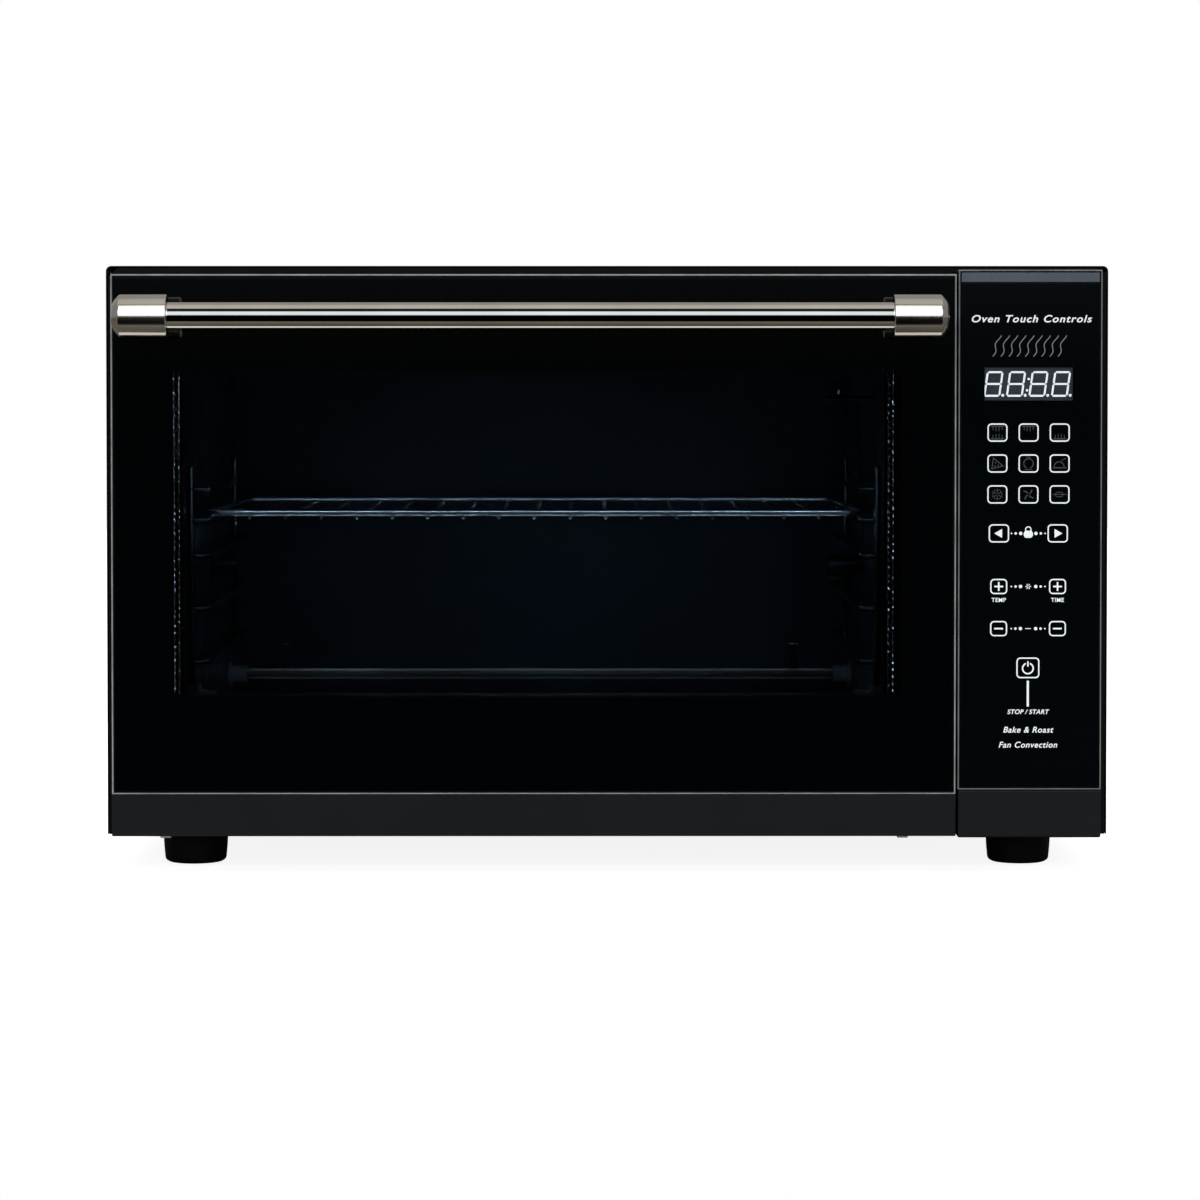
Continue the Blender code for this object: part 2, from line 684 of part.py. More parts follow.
def build_liner():
    start = FRONT + SHEET + FIT
    outer = grown(CAVITY, LINER_SHEET)
    lip = grown(outer, LINER_FLANGE)
    loops = [
        across_y(outer, CAVITY_REAR + LINER_SHEET),
        across_y(outer, start + LINER_SHEET),
        across_y(lip, start + LINER_SHEET),
        across_y(lip, start),
        across_y(CAVITY, start),
        across_y(CAVITY, CAVITY_REAR),
    ]
    liner = loft("oven_liner", loops, "grey_enamel")
    through = 4 * LINER_SHEET
    holes = []
    for y, z in HEATERS.values():
        for wall in (CAVITY_LEFT, CAVITY_RIGHT):
            radius = CERAMIC_RADIUS + FIT
            holes.append(turned_loops((wall, y, z), 0, ((-through, radius), (through, radius)), 12))
    singles = (
        (CAVITY_RIGHT, FAN_Y, FAN_Z, FAN_HOLE, 32),
        (CAVITY_RIGHT, SPIT_Y, SPIT_Z, SPIT_SHAFT + 0.002, 12),
        (CAVITY_RIGHT, LAMP_Y, LAMP_Z, LENS_RADIUS - 0.003, 16),
        (CAVITY_RIGHT, PROBE_Y, LAMP_Z, PROBE_RADIUS + FIT, 10),
    )
    for x, y, z, radius, sides in singles:
        holes.append(turned_loops((x, y, z), 0, ((-through, radius), (through, radius)), sides))
    cut(liner, holes)


def build_ladders():
    """Wire guides at the cavity's sides: two uprights, and a U-shaped rung at each rack level."""
    front = FRONT + LADDER_FRONT
    rear = CAVITY_REAR - LADDER_REAR_INSET
    for side, wall, sign in (("left", CAVITY_LEFT, 1), ("right", CAVITY_RIGHT, -1)):
        x = wall + sign * (WIRE_RADIUS + FIT)
        inner = wall + sign * (RUNG_REACH - WIRE_RADIUS)
        rungs = []
        for level in RUNG_LEVELS:
            z = CAVITY_FLOOR + level
            corners = [(x, front, z), (inner, front, z), (inner, rear, z), (x, rear, z)]
            rungs.append(tube_loops(rounded(corners, RUNG_CORNER, 2), WIRE_RADIUS, 6, (0, 0, 1)))
        ladder = lofts(f"{side}_rack_guide", rungs, "chrome_wire")
        low = CAVITY_FLOOR + RUNG_LEVELS[0] - LADDER_OVERHANG
        high = CAVITY_FLOOR + RUNG_LEVELS[-1] + LADDER_OVERHANG
        uprights = []
        for y in (front, rear):
            stations = ((low, WIRE_RADIUS), (high, WIRE_RADIUS))
            uprights.append(turned_loops((x, y, 0), 2, stations, 8))
        join(ladder, uprights)


def build_rack():
    """A rod frame with rounded corners, and wires welded under its front and rear."""
    left = CAVITY_LEFT + RACK_EDGE_ON_RUNG
    right = CAVITY_RIGHT - RACK_EDGE_ON_RUNG
    front = FRONT + RACK_FRONT
    rear = CAVITY_REAR - RACK_REAR_INSET
    corners = [(left, front, RACK_Z), (right, front, RACK_Z), (right, rear, RACK_Z), (left, rear, RACK_Z)]
    path = rounded(corners, RACK_CORNER, 3, closed=True)
    frame = tube_loops(path, RACK_ROD, 8, (0, 0, 1), closed=True)
    rack = loft("wire_rack", frame, "chrome_wire", ring=True)
    room = right - left - 2 * RACK_SIDE_MARGIN
    count = int(room / RACK_PITCH + 1.01)
    first = (left + right) / 2 - (count - 1) * RACK_PITCH / 2
    z = RACK_Z - RACK_ROD - RACK_WIRE + WELD_SINK
    wires = []
    for i in range(count):
        x = first + i * RACK_PITCH
        ends = [(x, front - RACK_ROD, z), (x, rear + RACK_ROD, z)]
        wires.append(tube_loops(ends, RACK_WIRE, 6, (0, 0, 1)))
    join(rack, wires)


def build_crumb_tray():
    bottom = CAVITY_FLOOR + FIT
    x0, x1 = CAVITY_LEFT + TRAY_INSET, CAVITY_RIGHT - TRAY_INSET
    y0, y1 = FRONT + TRAY_FRONT, CAVITY_REAR - TRAY_INSET
    wall = LINER_SHEET
    inner = (x0 + wall, x1 - wall, y0 + wall, y1 - wall)
    loops = [
        across_z(x0, x1, y0, y1, bottom),
        across_z(x0, x1, y0, y1, bottom + TRAY_HEIGHT),
        across_z(*inner, bottom + TRAY_HEIGHT),
        across_z(*inner, bottom + wall),
    ]
    loft("crumb_tray", loops, "galvanised_steel")


def build_heaters():
    """Sheathed rods, each with a ceramic bush and a terminal pin at both ends. One has two clips."""
    middle = (CAVITY_LEFT + CAVITY_RIGHT) / 2
    half = (CAVITY_RIGHT - CAVITY_LEFT) / 2
    for name, (y, z) in HEATERS.items():
        end = (
            (half + TERMINAL_REACH, TERMINAL_RADIUS),
            (half + CERAMIC_OUTSIDE, TERMINAL_RADIUS),
            (half + CERAMIC_OUTSIDE, CERAMIC_RADIUS),
            (half - FIT, CERAMIC_RADIUS),
            (half - FIT, CERAMIC_FLANGE),
            (half - FIT - CERAMIC_FLANGE_WIDTH, CERAMIC_FLANGE),
            (half - FIT - CERAMIC_FLANGE_WIDTH, CERAMIC_RADIUS),
            (half - CERAMIC_REACH, CERAMIC_RADIUS),
            (half - CERAMIC_REACH, HEATER_RADIUS),
        )
        stations = [(-along, radius) for along, radius in end] + list(end)[::-1]
        heater = turned(name, (middle, y, z), 0, stations, "heater_sheath", 10)
        if name == CLIPPED_HEATER:
            join(heater, heater_clips(middle, y, z))


def heater_clips(middle, y, z):
    """Sheet strips that stand on the rod, each with its top bent forwards."""
    solids = []
    for sign in (-1, 1):
        x = middle + sign * CLIP_SPACING
        back = y + SHEET
        top = z + CLIP_HEIGHT
        tip = y - CLIP_FOOT
        outline = [(back, z), (back, top), (tip, top), (tip, top - SHEET), (y, top - SHEET), (y, z)]
        sides = (x - CLIP_WIDTH / 2, x + CLIP_WIDTH / 2)
        solids.append([[(side, py, pz) for py, pz in outline] for side in sides])
    return solids


def build_fan():
    """Blade and cooling impeller on one shaft, the dish they turn in, the grille and the motor."""
    seat = WALL_OUTSIDE + FIT
    centre = (seat, FAN_Y, FAN_Z)
    dish = (
        (0, FAN_FLANGE),
        (SHEET, FAN_FLANGE),
        (SHEET, FAN_HOLE + SHEET),
        (FAN_DISH_DEPTH, FAN_HOLE - 0.001),
        (FAN_DISH_DEPTH, SHAFT_RADIUS + 0.002),
        (FAN_DISH_DEPTH - SHEET, SHAFT_RADIUS + 0.002),
        (FAN_DISH_DEPTH - SHEET, FAN_HOLE - 0.002),
        (0, FAN_HOLE),
    )
    turned("fan_housing", centre, 0, dish, "galvanised_steel", 24, ring=True)
    plate = ((-FIT - SHEET, FAN_FLANGE - 0.001), (-FIT, FAN_FLANGE - 0.001))
    grille = turned("fan_grille", (CAVITY_RIGHT, FAN_Y, FAN_Z), 0, plate, "grey_enamel", 28)
    slots = []
    through = (CAVITY_RIGHT - 3 * SHEET, CAVITY_RIGHT + SHEET)
    for row in range(-GRILLE_ROWS, GRILLE_ROWS + 1):
        z = FAN_Z + row * GRILLE_PITCH
        height = (z - GRILLE_SLOT / 2, z + GRILLE_SLOT / 2)
        reach = math.sqrt((FAN_HOLE - GRILLE_MARGIN) ** 2 - (row * GRILLE_PITCH) ** 2)
        slots.append(block(through, (FAN_Y - reach, FAN_Y - GRILLE_RIB / 2), height))
        slots.append(block(through, (FAN_Y + GRILLE_RIB / 2, FAN_Y + reach), height))
    cut(grille, slots)

    blade_x = seat + FAN_DISH_DEPTH - BLADE_FROM_DISH
    build_impeller("convection_blade", blade_x, -FAN_BLADE_DEPTH, FAN_BLADE_RADIUS, FAN_BLADES)
    cooling_x = seat + FAN_DISH_DEPTH + COOLING_FROM_DISH
    build_impeller("cooling_blade", cooling_x, COOLING_DEPTH, COOLING_RADIUS, COOLING_BLADES)
    motor_x = cooling_x + MOTOR_FROM_COOLING
    shaft = ((blade_x - 0.010, SHAFT_RADIUS), (motor_x + MOTOR_DEPTH - 0.004, SHAFT_RADIUS))
    turned("fan_shaft", (0, FAN_Y, FAN_Z), 0, shaft, "motor_steel", 16)

    y, z = FAN_Y, FAN_Z
    square = (y - MOTOR_HALF, y + MOTOR_HALF), (z - MOTOR_HALF, z + MOTOR_HALF)
    motor = loft("fan_motor", block((motor_x, motor_x + MOTOR_DEPTH), *square), "motor_steel")
    coil = block(
        (motor_x - COIL_PROUD, motor_x + MOTOR_DEPTH + COIL_PROUD),
        (y - COIL_HALF, y + COIL_HALF),
        (z - MOTOR_HALF - COIL_DROP, z - MOTOR_HALF + 0.001),
    )
    posts = []
    for dy in (-1, 1):
        for dz in (-1, 1):
            spot = (0, y + dy * (MOTOR_HALF - POST_INSET), z + dz * (MOTOR_HALF - POST_INSET))
            reach = ((seat + FAN_DISH_DEPTH + FIT, POST_RADIUS), (motor_x + 0.001, POST_RADIUS))
            posts.append(turned_loops(spot, 0, reach, 8))
    join(motor, [coil, *posts])
    bore = ((motor_x - 0.002, SHAFT_RADIUS + FIT), (motor_x + MOTOR_DEPTH - 0.003, SHAFT_RADIUS + FIT))
    cut(motor, [turned_loops((0, y, z), 0, bore, 16)])


def build_impeller(name, x, depth, radius, blades):
    """A disc at x with straight blades of that depth on one face, bored for the shaft."""
    bore = SHAFT_RADIUS + FIT
    back = -math.copysign(SHEET, depth)
    disc = ((0, bore), (0, radius), (back, radius), (back, bore))
    impeller = turned(name, (x, FAN_Y, FAN_Z), 0, disc, "galvanised_steel", 24, ring=True)
    hub = ((-back / 2, bore), (-back / 2, HUB_RADIUS), (depth / 2, HUB_RADIUS), (depth / 2, bore))
    solids = []
    for i in range(blades):
        angle = math.tau * i / blades
        along = Vector((0, math.cos(angle), math.sin(angle)))
        beside = Vector((0, -math.sin(angle), math.cos(angle))) * SHEET / 2
        centre = Vector((x, FAN_Y, FAN_Z))
        loop = [
            centre + along * BLADE_INNER_RADIUS - beside,
            centre + along * (radius - 0.001) - beside,
            centre + along * (radius - 0.001) + beside,
            centre + along * BLADE_INNER_RADIUS + beside,
        ]
        low = Vector((back / 2, 0, 0))
        high = Vector((depth, 0, 0))
        solids.append([[p + low for p in loop], [p + high for p in loop]])
    join(impeller, solids)
    boss = loft(name + "_hub", turned_loops((x + back / 2, FAN_Y, FAN_Z), 0, hub, 12), None, ring=True)
    boolean(impeller, boss, "UNION")


def build_spit_drive():
    """Gear motor outside the right wall, the square socket it turns, and the rest on the left."""
    seat = WALL_OUTSIDE + FIT
    body = (
        (SPIT_SHAFT_BITE, 0.001),
        (SPIT_SHAFT_BITE, SPIT_SHAFT + FIT),
        (0, SPIT_SHAFT + FIT),
        (0, SPIT_MOTOR_RADIUS),
        (SPIT_MOTOR_DEPTH - 0.002, SPIT_MOTOR_RADIUS),
        (SPIT_MOTOR_DEPTH, SPIT_MOTOR_RADIUS - 0.002),
    )
    turned("spit_motor", (seat, SPIT_Y, SPIT_Z), 0, body, "motor_steel", 20)
    cup = (
        (-SPIT_CUP_REACH, SPIT_CUP_RADIUS - 0.001),
        (-SPIT_CUP_REACH + 0.001, SPIT_CUP_RADIUS),
        (-0.002, SPIT_CUP_RADIUS),
        (-0.002, SPIT_SHAFT),
        (LINER_SHEET + SPIT_SHAFT_BITE - 0.002, SPIT_SHAFT),
    )
    coupling = turned("spit_coupling", (CAVITY_RIGHT, SPIT_Y, SPIT_Z), 0, cup, "motor_steel", 16)
    rest = (
        (FIT, SPIT_CUP_RADIUS + SPIT_PLATE_LAP),
        (FIT + SHEET, SPIT_CUP_RADIUS + SPIT_PLATE_LAP),
        (FIT + SHEET, SPIT_CUP_RADIUS),
        (SPIT_REST_REACH, SPIT_CUP_RADIUS),
    )
    bearing = turned("spit_rest", (CAVITY_LEFT, SPIT_Y, SPIT_Z), 0, rest, "motor_steel", 16)
    square = (SPIT_Y - SPIT_SOCKET, SPIT_Y + SPIT_SOCKET), (SPIT_Z - SPIT_SOCKET, SPIT_Z + SPIT_SOCKET)
    mouth = CAVITY_RIGHT - SPIT_CUP_REACH
    cut(coupling, [block((mouth - 0.002, mouth + SPIT_SOCKET_DEPTH), *square)])
    mouth = CAVITY_LEFT + SPIT_REST_REACH
    cut(bearing, [block((mouth - SPIT_REST_DEPTH, mouth + 0.002), *square)])


def build_lamp_and_probe():
    lens = []
    for reach, radius, steps in (
        (LENS_REACH - LENS_WALL, LENS_RADIUS - 2 * LENS_WALL, (4, 3, 2, 1, 0)),
        (LENS_REACH, LENS_RADIUS - LENS_WALL / 2, (0, 1, 2, 3, 4)),
    ):
        for k in steps:
            angle = math.radians(19 * k)
            lens.append((-FIT - SHEET - (reach - FIT - SHEET) * math.sin(angle), radius * math.cos(angle)))
    lens[5:5] = [(-FIT, LENS_RADIUS - 2 * LENS_WALL), (-FIT, LENS_RADIUS), (-FIT - SHEET, LENS_RADIUS)]
    turned("lamp_lens", (CAVITY_RIGHT, LAMP_Y, LAMP_Z), 0, lens, "clear_glass", 16)
    plate = FIT + SHEET
    holder = (
        (FIT, LENS_RADIUS + 0.002),
        (plate, LENS_RADIUS + 0.002),
        (plate, HOLDER_RADIUS),
        (HOLDER_DEPTH, HOLDER_RADIUS),
    )
    turned("lamp_holder", (WALL_OUTSIDE, LAMP_Y, LAMP_Z), 0, holder, "ceramic", 16)
    bulb = ((0, 0.006), (-0.003, 0.0068), (-0.0065, 0.0055), (-0.0085, 0.0025))
    turned("lamp_bulb", (WALL_OUTSIDE, LAMP_Y, LAMP_Z), 0, bulb, "clear_glass", 12)
    probe = (
        (PROBE_TAIL, PROBE_RADIUS),
        (-FIT, PROBE_RADIUS),
        (-FIT, PROBE_FLANGE),
        (-FIT - SHEET, PROBE_FLANGE),
        (-FIT - SHEET, PROBE_RADIUS),
        (-PROBE_REACH, PROBE_RADIUS),
    )
    turned("temperature_probe", (CAVITY_RIGHT, PROBE_Y, LAMP_Z), 0, probe, "polished_steel", 10)
    cutout = (
        (FIT, CUTOUT_RADIUS),
        (CUTOUT_HEIGHT - 0.002, CUTOUT_RADIUS),
        (CUTOUT_HEIGHT, CUTOUT_RADIUS - 0.003),
    )
    spot = (CAVITY_LEFT + CUTOUT_FROM_LEFT, FRONT + SPIT_DEPTH, CAVITY_TOP + LINER_SHEET)
    turned("thermal_cutout", spot, 2, cutout, "motor_steel", 12)


def build_panel():
    """Touch panel: housing, glass, bright strip, bottom rail, display and boards."""
    rect = (PANEL_LEFT, PANEL_RIGHT, PANEL_RAIL_TOP + FIT, PANEL_TOP)
    inner = grown(rect, -PANEL_WALL)
    ledge = grown(inner, -PANEL_LEDGE)
    face = DOOR_FACE + 0.0005
    shelf = DOOR_FACE + TOUCH_GLASS + FIT
    loops = [
        across_y(rect, face),
        across_y(rect, FRONT - FIT),
        across_y(inner, FRONT - FIT),
        across_y(inner, shelf + PANEL_WALL),
        across_y(ledge, shelf + PANEL_WALL),
        across_y(ledge, shelf),
        across_y(inner, shelf),
        across_y(inner, face),
    ]
    loft("control_housing", loops, "satin_black", ring=True)
    seat = grown(inner, -FIT)
    strip_low = seat[3] - STRIP_HEIGHT
    glass = (seat[0], seat[1], seat[2], strip_low - FIT)
    strip = (seat[0], seat[1], strip_low, seat[3])
    glass_back = DOOR_FACE + TOUCH_GLASS
    loft("touch_glass", [across_y(glass, DOOR_FACE), across_y(glass, glass_back)], "black_glass")
    loft("panel_strip", [across_y(strip, DOOR_FACE), across_y(strip, glass_back)], "dark_aluminium")
    rail = (PANEL_LEFT, PANEL_RIGHT, PANEL_BOTTOM, PANEL_RAIL_TOP)
    tray("panel_rail", rail, RAIL_WALL, DOOR_FACE, FRONT - FIT, "satin_black")

    display_z = BODY_HEIGHT - DISPLAY_FROM_TOP - PANEL_TOP_REVEAL
    display = (
        KEYS_CENTRE - DISPLAY_WIDTH / 2,
        KEYS_CENTRE + DISPLAY_WIDTH / 2,
        display_z - DISPLAY_HEIGHT / 2,
        display_z + DISPLAY_HEIGHT / 2,
    )
    module_front = glass_back + FIT
    back = module_front + DISPLAY_DEPTH
    loft("display_module", [across_y(display, module_front), across_y(display, back)], "display")
    board_rect = (seat[0], seat[1], PANEL_RAIL_TOP + BOARD_MARGIN, PANEL_TOP - BOARD_MARGIN)
    board = [across_y(board_rect, back + FIT), across_y(board_rect, back + FIT + BOARD)]
    control = loft("control_board", board, "circuit_board")
    springs = []
    reach = ((module_front, TOUCH_PAD), (back + 2 * FIT, TOUCH_PAD))
    for row in range(TOUCH_ROWS):
        z = display_z - DISPLAY_HEIGHT / 2 - 0.017 - row * TOUCH_ROW_PITCH
        for column in (-1, 0, 1):
            x = KEYS_CENTRE + column * TOUCH_COLUMN_PITCH
            springs.append(turned_loops((x, 0, z), 1, reach, 6))
    join(control, springs)


def build_power_board():
    """Supply board on four standoffs over the base, with its relays and transformer."""
    low = FOOT_HEIGHT + SHEET + FIT
    z = low + STANDOFF
    x0, x1 = CAVITY_RIGHT + SUPPLY_LEFT_GAP, INSIDE - SUPPLY_RIGHT_GAP
    y0 = FRONT + SUPPLY_FRONT
    y1 = y0 + SUPPLY_DEPTH
    board = loft("power_board", block((x0, x1), (y0, y1), (z, z + BOARD)), "circuit_board")
    pieces = []
    standoff = ((low, STANDOFF_RADIUS), (z + FIT, STANDOFF_RADIUS))
    for x in (x0 + STANDOFF_INSET, x1 - STANDOFF_INSET):
        for y in (y0 + STANDOFF_INSET, y1 - STANDOFF_INSET):
            pieces.append(turned_loops((x, y, 0), 2, standoff, 8))
    top = z + BOARD
    row = (y1 - 0.035, y1 - 0.015)
    for i in range(RELAYS):
        x = x0 + 0.012 + i * RELAY_PITCH
        pieces.append(block((x, x + RELAY_SIDE), row, (top - FIT, top - FIT + RELAY_SIDE)))
    join(board, pieces)
    core_x, core_y = x0 + 0.015, y0 + 0.015
    core = block(
        (core_x, core_x + CORE_WIDTH),
        (core_y, core_y + CORE_DEPTH),
        (top + FIT, top + CORE_HEIGHT),
    )
    transformer = loft("transformer", core, "motor_steel")
    coil = block(
        (core_x + COIL_MARGIN, core_x + CORE_WIDTH - COIL_MARGIN),
        (core_y - COIL_MARGIN, core_y + CORE_DEPTH + COIL_MARGIN),
        (top + 0.006, top + CORE_HEIGHT - 0.004),
    )
    join(transformer, [coil])


def build_door():
    rect = (DOOR_LEFT, DOOR_RIGHT, DOOR_RAIL_TOP + FIT, DOOR_TOP)
    inner = grown(rect, -DOOR_WALL)
    ledge = grown(inner, -GLASS_LEDGE)
    face = DOOR_FACE + 0.0005
    shelf = DOOR_FACE + FACE_GLASS + FIT
    loops = [
        across_y(rect, face),
        across_y(rect, DOOR_BACK),
        across_y(inner, DOOR_BACK),
        across_y(inner, shelf + SHEET),
        across_y(ledge, shelf + SHEET),
        across_y(ledge, shelf),
        across_y(inner, shelf),
        across_y(inner, face),
    ]
    loft("door_frame", loops, "satin_black", ring=True)
    pane = grown(inner, -FIT)
    loops = [across_y(pane, DOOR_FACE), across_y(pane, DOOR_FACE + FACE_GLASS)]
    glass = loft("door_glass", loops, "black_glass")
    radius = SCREW_RADIUS + SCREW_HOLE_EASE
    through = ((-FACE_GLASS, radius), (2 * FACE_GLASS, radius))
    cut(glass, [turned_loops((x, DOOR_FACE, HANDLE_Z), 1, through, 12) for x in NECKS.values()])

    outer = grown(inner, -FIT)
    inside = grown(outer, -SHEET)
    window = grown(CAVITY, GASKET_OUTSET + GASKET_RADIUS + WINDOW_MARGIN)
    rim = grown(window, SHEET)
    shelf = grown(window, -GLASS_SHELF)
    skirt = DOOR_BACK - INNER_SKIRT
    seat = DOOR_BACK - INNER_GLASS - FIT
    loops = [
        across_y(outer, skirt),
        across_y(outer, DOOR_BACK),
        across_y(window, DOOR_BACK),
        across_y(window, seat),
        across_y(shelf, seat),
        across_y(shelf, seat - SHEET),
        across_y(rim, seat - SHEET),
        across_y(rim, DOOR_BACK - SHEET),
        across_y(inside, DOOR_BACK - SHEET),
        across_y(inside, skirt),
    ]
    loft("door_inner_panel", loops, "galvanised_steel", ring=True)
    pane = grown(window, -FIT)
    loops = [across_y(pane, DOOR_BACK - INNER_GLASS), across_y(pane, DOOR_BACK)]
    loft("door_inner_glass", loops, "clear_glass")


def build_door_rail():
    """Bottom rail, open at the back, with two lugs round each hinge ear and a notch for it."""
    rect = (DOOR_LEFT, DOOR_RIGHT, DOOR_BOTTOM, DOOR_RAIL_TOP)
    rail = tray("door_rail", rect, RAIL_WALL, DOOR_FACE, DOOR_BACK, "satin_black")
    bite = RAIL_WALL / 2
    lugs, notches, bores = [], [], []
    for x, _ in HINGES.values():
        inner = EAR_WIDTH / 2 + FIT
        for sign in (-1, 1):
            span = sorted((x + sign * inner, x + sign * (inner + LUG_WALL)))
            height = (DOOR_BOTTOM + bite, DOOR_RAIL_TOP - bite)
            lugs.append(block(tuple(span), (DOOR_FACE + bite, DOOR_BACK - 0.002), height))
        reach = (HINGE_Y - EAR_RADIUS - 2 * FIT, DOOR_BACK + 0.001)
        height = (DOOR_BOTTOM - 0.001, DOOR_BOTTOM + RAIL_WALL + 0.001)
        notches.append(block((x - inner, x + inner), reach, height))
        half = inner + LUG_WALL + LUG_REACH
        bores.append(turned_loops((x, HINGE_Y, HINGE_Z), 0, ((-half, PIN_BORE), (half, PIN_BORE)), 20))
    join(rail, lugs)
    cut(rail, notches)
    cut(rail, bores)


def build_hinge_pins():
    """Pins through lugs and ear, each with a torsion spring on its inner end."""
    for side, (x, sign) in HINGES.items():
        edge = EAR_WIDTH / 2 + FIT + LUG_WALL
        inner_end = edge + 2 * FIT + (SPRING_TURNS + 1) * SPRING_PITCH + 0.002
        stations = ((-sign * (edge + 0.002), PIN_RADIUS), (sign * inner_end, PIN_RADIUS))
        turned(f"{side}_hinge_pin", (x, HINGE_Y, HINGE_Z), 0, stations, "polished_steel", 20)
        build_door_spring(side, x + sign * (edge + FIT + 2 * SPRING_WIRE), sign)


def build_door_spring(side, x, sign):
    radius = PIN_RADIUS + FIT + SPRING_WIRE
    per_turn = 8
    steps = int(SPRING_TURNS * per_turn)
    centre = Vector((x, HINGE_Y, HINGE_Z))
    start = math.radians(200)
    path = []
    for k in range(steps + 1):
        angle = start + math.tau * k / per_turn
        around = Vector((0, math.cos(angle), math.sin(angle))) * radius
        path.append(centre + around + Vector((sign * SPRING_PITCH * k / per_turn, 0, 0)))
    first = (path[0] - path[1]).normalized() * 0.005
    last = (path[-1] - path[-2]).normalized() * 0.005
    path = [path[0] + first, *path, path[-1] + last]
    loops = []
    for i, point in enumerate(path):
        tangent = (path[min(i + 1, len(path) - 1)] - path[max(i - 1, 0)]).normalized()
        across = Vector((1, 0, 0))
        across = (across - tangent * across.dot(tangent)).normalized()
        beside = tangent.cross(across)
        loop = []
        for k in range(5):
            angle = math.tau * k / 5
            loop.append(point + SPRING_WIRE * (math.cos(angle) * across + math.sin(angle) * beside))
        loops.append(loop)
    loft(f"{side}_door_spring", loops, "polished_steel")


def build_handle():
    """Tube between two cast end caps, each on a neck that a screw holds to the glass."""
    mouth_left = HANDLE_LEFT + CAP_LENGTH
    mouth_right = HANDLE_RIGHT - CAP_LENGTH
    start = mouth_left - BAR_SOCKET + FIT
    end = mouth_right + BAR_SOCKET - FIT
    inside = BAR_RADIUS - BAR_WALL
    tube = ((start, inside), (start, BAR_RADIUS), (end, BAR_RADIUS), (end, inside))
    turned("handle_bar", (0, HANDLE_Y, HANDLE_Z), 0, tube, "polished_steel", 24, ring=True)
    bore = BAR_RADIUS + FIT
    for side, mouth, sign in (("left", mouth_left, -1), ("right", mouth_right, 1)):
        stations = [(sign * BAR_SOCKET, bore), (0, bore), (0, CAP_RADIUS)]
        steps = 3
        for k in range(steps + 1):
            angle = math.pi / 2 * k / steps
            along = CAP_LENGTH - CAP_ROUND + CAP_ROUND * math.sin(angle)
            stations.append((sign * along, CAP_RADIUS - CAP_ROUND + CAP_ROUND * math.cos(angle)))
        cap = turned(f"{side}_handle_cap", (mouth, HANDLE_Y, HANDLE_Z), 0, stations, "polished_steel", 24)
        x = NECKS[side]
        neck = ((HANDLE_Y + 0.004, NECK_RADIUS), (DOOR_FACE - FIT, NECK_RADIUS))
        join(cap, [turned_loops((x, 0, HANDLE_Z), 1, neck, 16)])
        hole = SCREW_RADIUS + FIT
        depth = ((DOOR_FACE - SCREW_BITE - 0.002, hole), (DOOR_FACE + 0.002, hole))
        cut(cap, [turned_loops((x, 0, HANDLE_Z), 1, depth, 12)])
        seat = DOOR_FACE + FACE_GLASS + FIT
        screw = (
            (DOOR_FACE - SCREW_BITE, SCREW_RADIUS),
            (seat, SCREW_RADIUS),
            (seat, SCREW_HEAD),
            (seat + SCREW_HEAD_HEIGHT / 2, SCREW_HEAD),
            (seat + SCREW_HEAD_HEIGHT, SCREW_HEAD - 0.002),
        )
        turned(f"{side}_handle_screw", (x, 0, HANDLE_Z), 1, screw, "polished_steel", 12)


clear_scene()
build_cover()
build_base()
build_rear()
build_front_frame()
build_hinge_brackets()
build_liner()
build_ladders()
build_rack()
build_crumb_tray()
build_heaters()
build_fan()
build_spit_drive()
build_lamp_and_probe()
build_panel()
build_power_board()
build_door()
build_door_rail()
build_hinge_pins()
build_handle()
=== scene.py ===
"""Looks of the countertop oven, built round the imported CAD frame. Metres, +Z up, door facing -Y."""
import json
import math

import bmesh
import bpy
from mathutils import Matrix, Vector


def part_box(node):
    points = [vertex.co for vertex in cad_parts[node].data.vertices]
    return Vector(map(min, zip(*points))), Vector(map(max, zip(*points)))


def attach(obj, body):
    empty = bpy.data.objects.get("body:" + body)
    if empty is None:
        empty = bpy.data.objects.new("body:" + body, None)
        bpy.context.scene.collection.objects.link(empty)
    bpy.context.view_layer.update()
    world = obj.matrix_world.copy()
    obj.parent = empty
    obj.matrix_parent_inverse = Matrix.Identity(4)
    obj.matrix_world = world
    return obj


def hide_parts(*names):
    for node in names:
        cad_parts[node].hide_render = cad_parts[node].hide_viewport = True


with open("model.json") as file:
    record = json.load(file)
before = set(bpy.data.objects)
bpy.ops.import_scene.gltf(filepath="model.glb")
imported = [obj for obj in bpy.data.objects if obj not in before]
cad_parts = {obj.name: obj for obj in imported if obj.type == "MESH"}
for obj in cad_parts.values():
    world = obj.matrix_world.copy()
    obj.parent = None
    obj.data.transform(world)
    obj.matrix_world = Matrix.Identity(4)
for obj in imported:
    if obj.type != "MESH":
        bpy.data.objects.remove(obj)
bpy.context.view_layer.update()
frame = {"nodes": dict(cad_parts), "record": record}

PRINT_THICKNESS = 0.00005
DOTS_PER_METRE = 900.0  # in the printed glass, where it fades
RIM_DEPTH = 0.0008  # how far behind a frame's face its edge carries the painted highlight
STRAND_PITCH = 0.004  # along the gasket
SEGMENTS = 64  # round the polished pieces
FIT = 0.0003
BAR_WALL = 0.0012
NECK_RADIUS = 0.007
NECK_FOOT = 0.0088
DOOR_PLANE_TO_CAMERA = 2.2
CAMERA_X = -0.0099
CAMERA_Z = 0.278
SIGHT_SHIFT = 0.0057  # aim, to the right of the camera
SIGHT_DROP = 0.0640  # aim, below the camera
VIEW_CENTRE_Z = 0.1549  # height at the door's plane that the view is centred on
